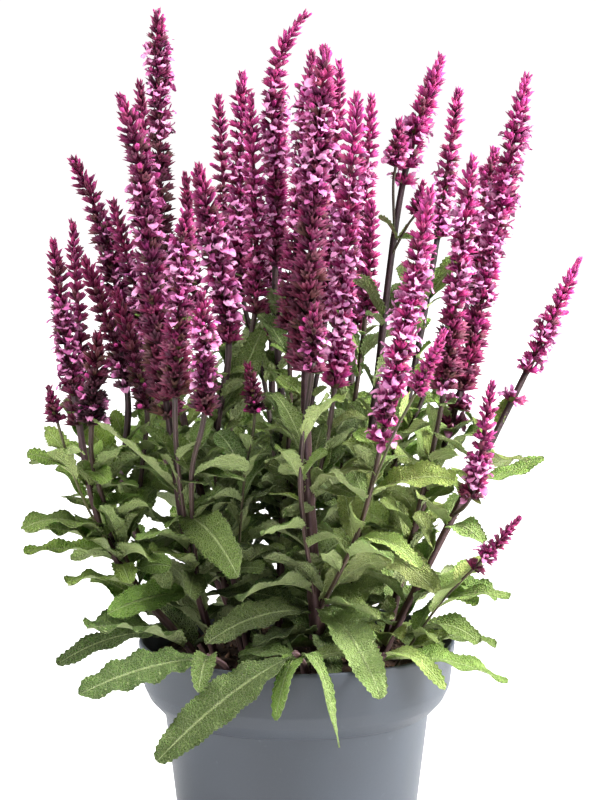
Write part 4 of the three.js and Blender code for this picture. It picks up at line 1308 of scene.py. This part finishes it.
def add_crumbs(patchwork, reach, rng):
    """Lumps of peat and bark on the soil: octahedra, each squeezed its own way."""
    count = CRUMB_COUNT
    corner = np.array([[1, 0, 0], [0, 1, 0], [-1, 0, 0], [0, -1, 0], [0, 0, 1], [0, 0, -1]], float)
    faces = [[0, 1, 4], [1, 2, 4], [2, 3, 4], [3, 0, 4], [1, 0, 5], [2, 1, 5], [3, 2, 5], [0, 3, 5]]
    size = rng.uniform(0.5, 1.9, (count, 1, 1)) * rng.uniform(0.5, 1.2, (count, 6, 1))
    stretch = rng.uniform(0.5, 1.4, (count, 1, 3))
    turn = rng.uniform(0, 2 * math.pi, count)[:, None]
    x, y, z = np.moveaxis(corner[None] * size * stretch, -1, 0)
    spun = [x * np.cos(turn) - y * np.sin(turn), x * np.sin(turn) + y * np.cos(turn), z]
    r = reach * np.sqrt(rng.random(count))
    around = rng.uniform(0, 2 * math.pi, count)
    x, y = r * np.cos(around), r * np.sin(around)
    spots = np.stack([x, y, soil_height(x, y) + 0.2], -1)
    palette = np.array([linear(code) for code in ("3b2b21", "2a1e17", "5a4433", "46331f")])
    tint = palette[rng.integers(0, len(palette), count)][:, None]
    patchwork.add_copies(np.stack(spun, -1) + spots[:, None], (), tint, faces)


# ---- The scene ----
STEM_SEED = 100
SPIKE_SEED = 200
SOIL_SEED = 300
SKY = 0.3
FLOOR_GLOW = 0.78  # far from the plant
FRONT_GLOW = 0.3  # the share of it in front, where less light lets the sides of the pot show
CAMERA_PLACE = (0.001, -1.7, 0.542)
CAMERA_DIP = math.radians(8.3)
CAMERA_LENS = 130.2
# Each lamp: name, watts, size, place, and the height on the plant's axis that it is aimed at.
LAMPS = (
    ("right", 178, 0.9, (1.9, -0.22, 1.2), 0.25),
    ("left", 56, 0.9, (-1.9, -0.22, 1.0), 0.25),
    ("top", 34, 0.8, (0.1, -0.4, 2.2), 0.3),
)


def add_lamp(name, energy, size, spot, aim):
    light = bpy.data.lights.new(name, "AREA")
    light.energy = energy
    light.size = size
    x, y, z = -np.array(spot) + [0, 0, aim]
    turn = (math.pi / 2 + math.atan2(z, math.hypot(x, y)), 0, math.atan2(-x, y))
    link(name, light, location=spot, rotation_euler=turn)


def add_floor():
    """A seamless white floor that reaches to the horizon and glows where the lamps don't reach it."""
    mesh = bpy.data.meshes.new("floor")
    reach = 150.0
    corners = [(-reach, -reach, 0), (reach, -reach, 0), (reach, reach, 0), (-reach, reach, 0)]
    mesh.from_pydata(corners, [], [(0, 1, 2, 3)])
    look = Look("floor", 0.9, Specular_IOR_Level=0.1, Emission_Color=(1, 1, 1, 1))
    away = look.node("VectorMath", {0: look.place()}, operation="LENGTH")["Value"]
    depth = look.node("SeparateXYZ", {0: look.place()})["Y"]
    glow = look.span(away, 0.3, 2.5, 0.0, FLOOR_GLOW)
    share = look.span(depth, -1.0, 0.0, FRONT_GLOW, 1.0)
    look.set("Emission Strength", look.times(glow, share))
    look.set("Base Color", look.mix(look.noise(3.0), (0.9, 0.9, 0.9), (0.92, 0.92, 0.92)))
    mesh.materials.append(look.material)
    floor = link("floor", mesh)


def add_studio():
    add_floor()
    for lamp in LAMPS:
        add_lamp(*lamp)
    world = bpy.data.worlds.new("studio")
    world.use_nodes = True
    background = world.node_tree.nodes["Background"]
    background.inputs["Color"].default_value = (1, 1, 1, 1)
    background.inputs["Strength"].default_value = SKY
    lens = bpy.data.cameras.new("camera")
    lens.lens = CAMERA_LENS
    lens.sensor_width = 36
    bpy.context.scene.world = world
    turn = (math.pi / 2 - CAMERA_DIP, 0, 0)
    bpy.context.scene.camera = link("camera", lens, location=CAMERA_PLACE, rotation_euler=turn)
    bpy.context.scene.view_settings.view_transform = "Standard"


def build():
    add_studio()
    foliage, flower = foliage_look(), flower_look()
    leaves = all_leaves()
    for i, family in enumerate(FAMILIES):
        rng = np.random.default_rng(STEM_SEED + i)
        stem = Patchwork()
        for shoot in SHOOT.values():
            if shoot.family == family:
                add_stem(stem, shoot, rng)
        for leaf in leaves:
            if leaf.family == family:
                add_leaf(stem, leaf, rng)
        stem.make(f"leafy_{family}", foliage, [f"stem_{family}"])
    for shoot in SHOOT.values():
        if shoot.girth > 0 and not shoot.name.endswith("_twin"):
            spike = Patchwork()
            for one in (shoot, SHOOT.get(f"{shoot.name}_twin")):
                if one:
                    add_spike(spike, one, np.random.default_rng(SPIKE_SEED + one.number))
            spike.make(f"flowers_{shoot.name}", flower, [f"spike_{shoot.name}"])
    pot = Patchwork()
    add_pot(pot)
    drill_drains(pot.make("moulded_pot", pot_look(), ["pot"]))
    soil = Patchwork()
    add_soil(soil, np.random.default_rng(SOIL_SEED))
    soil.make("peat_soil", soil_look(), ["soil"])


build()
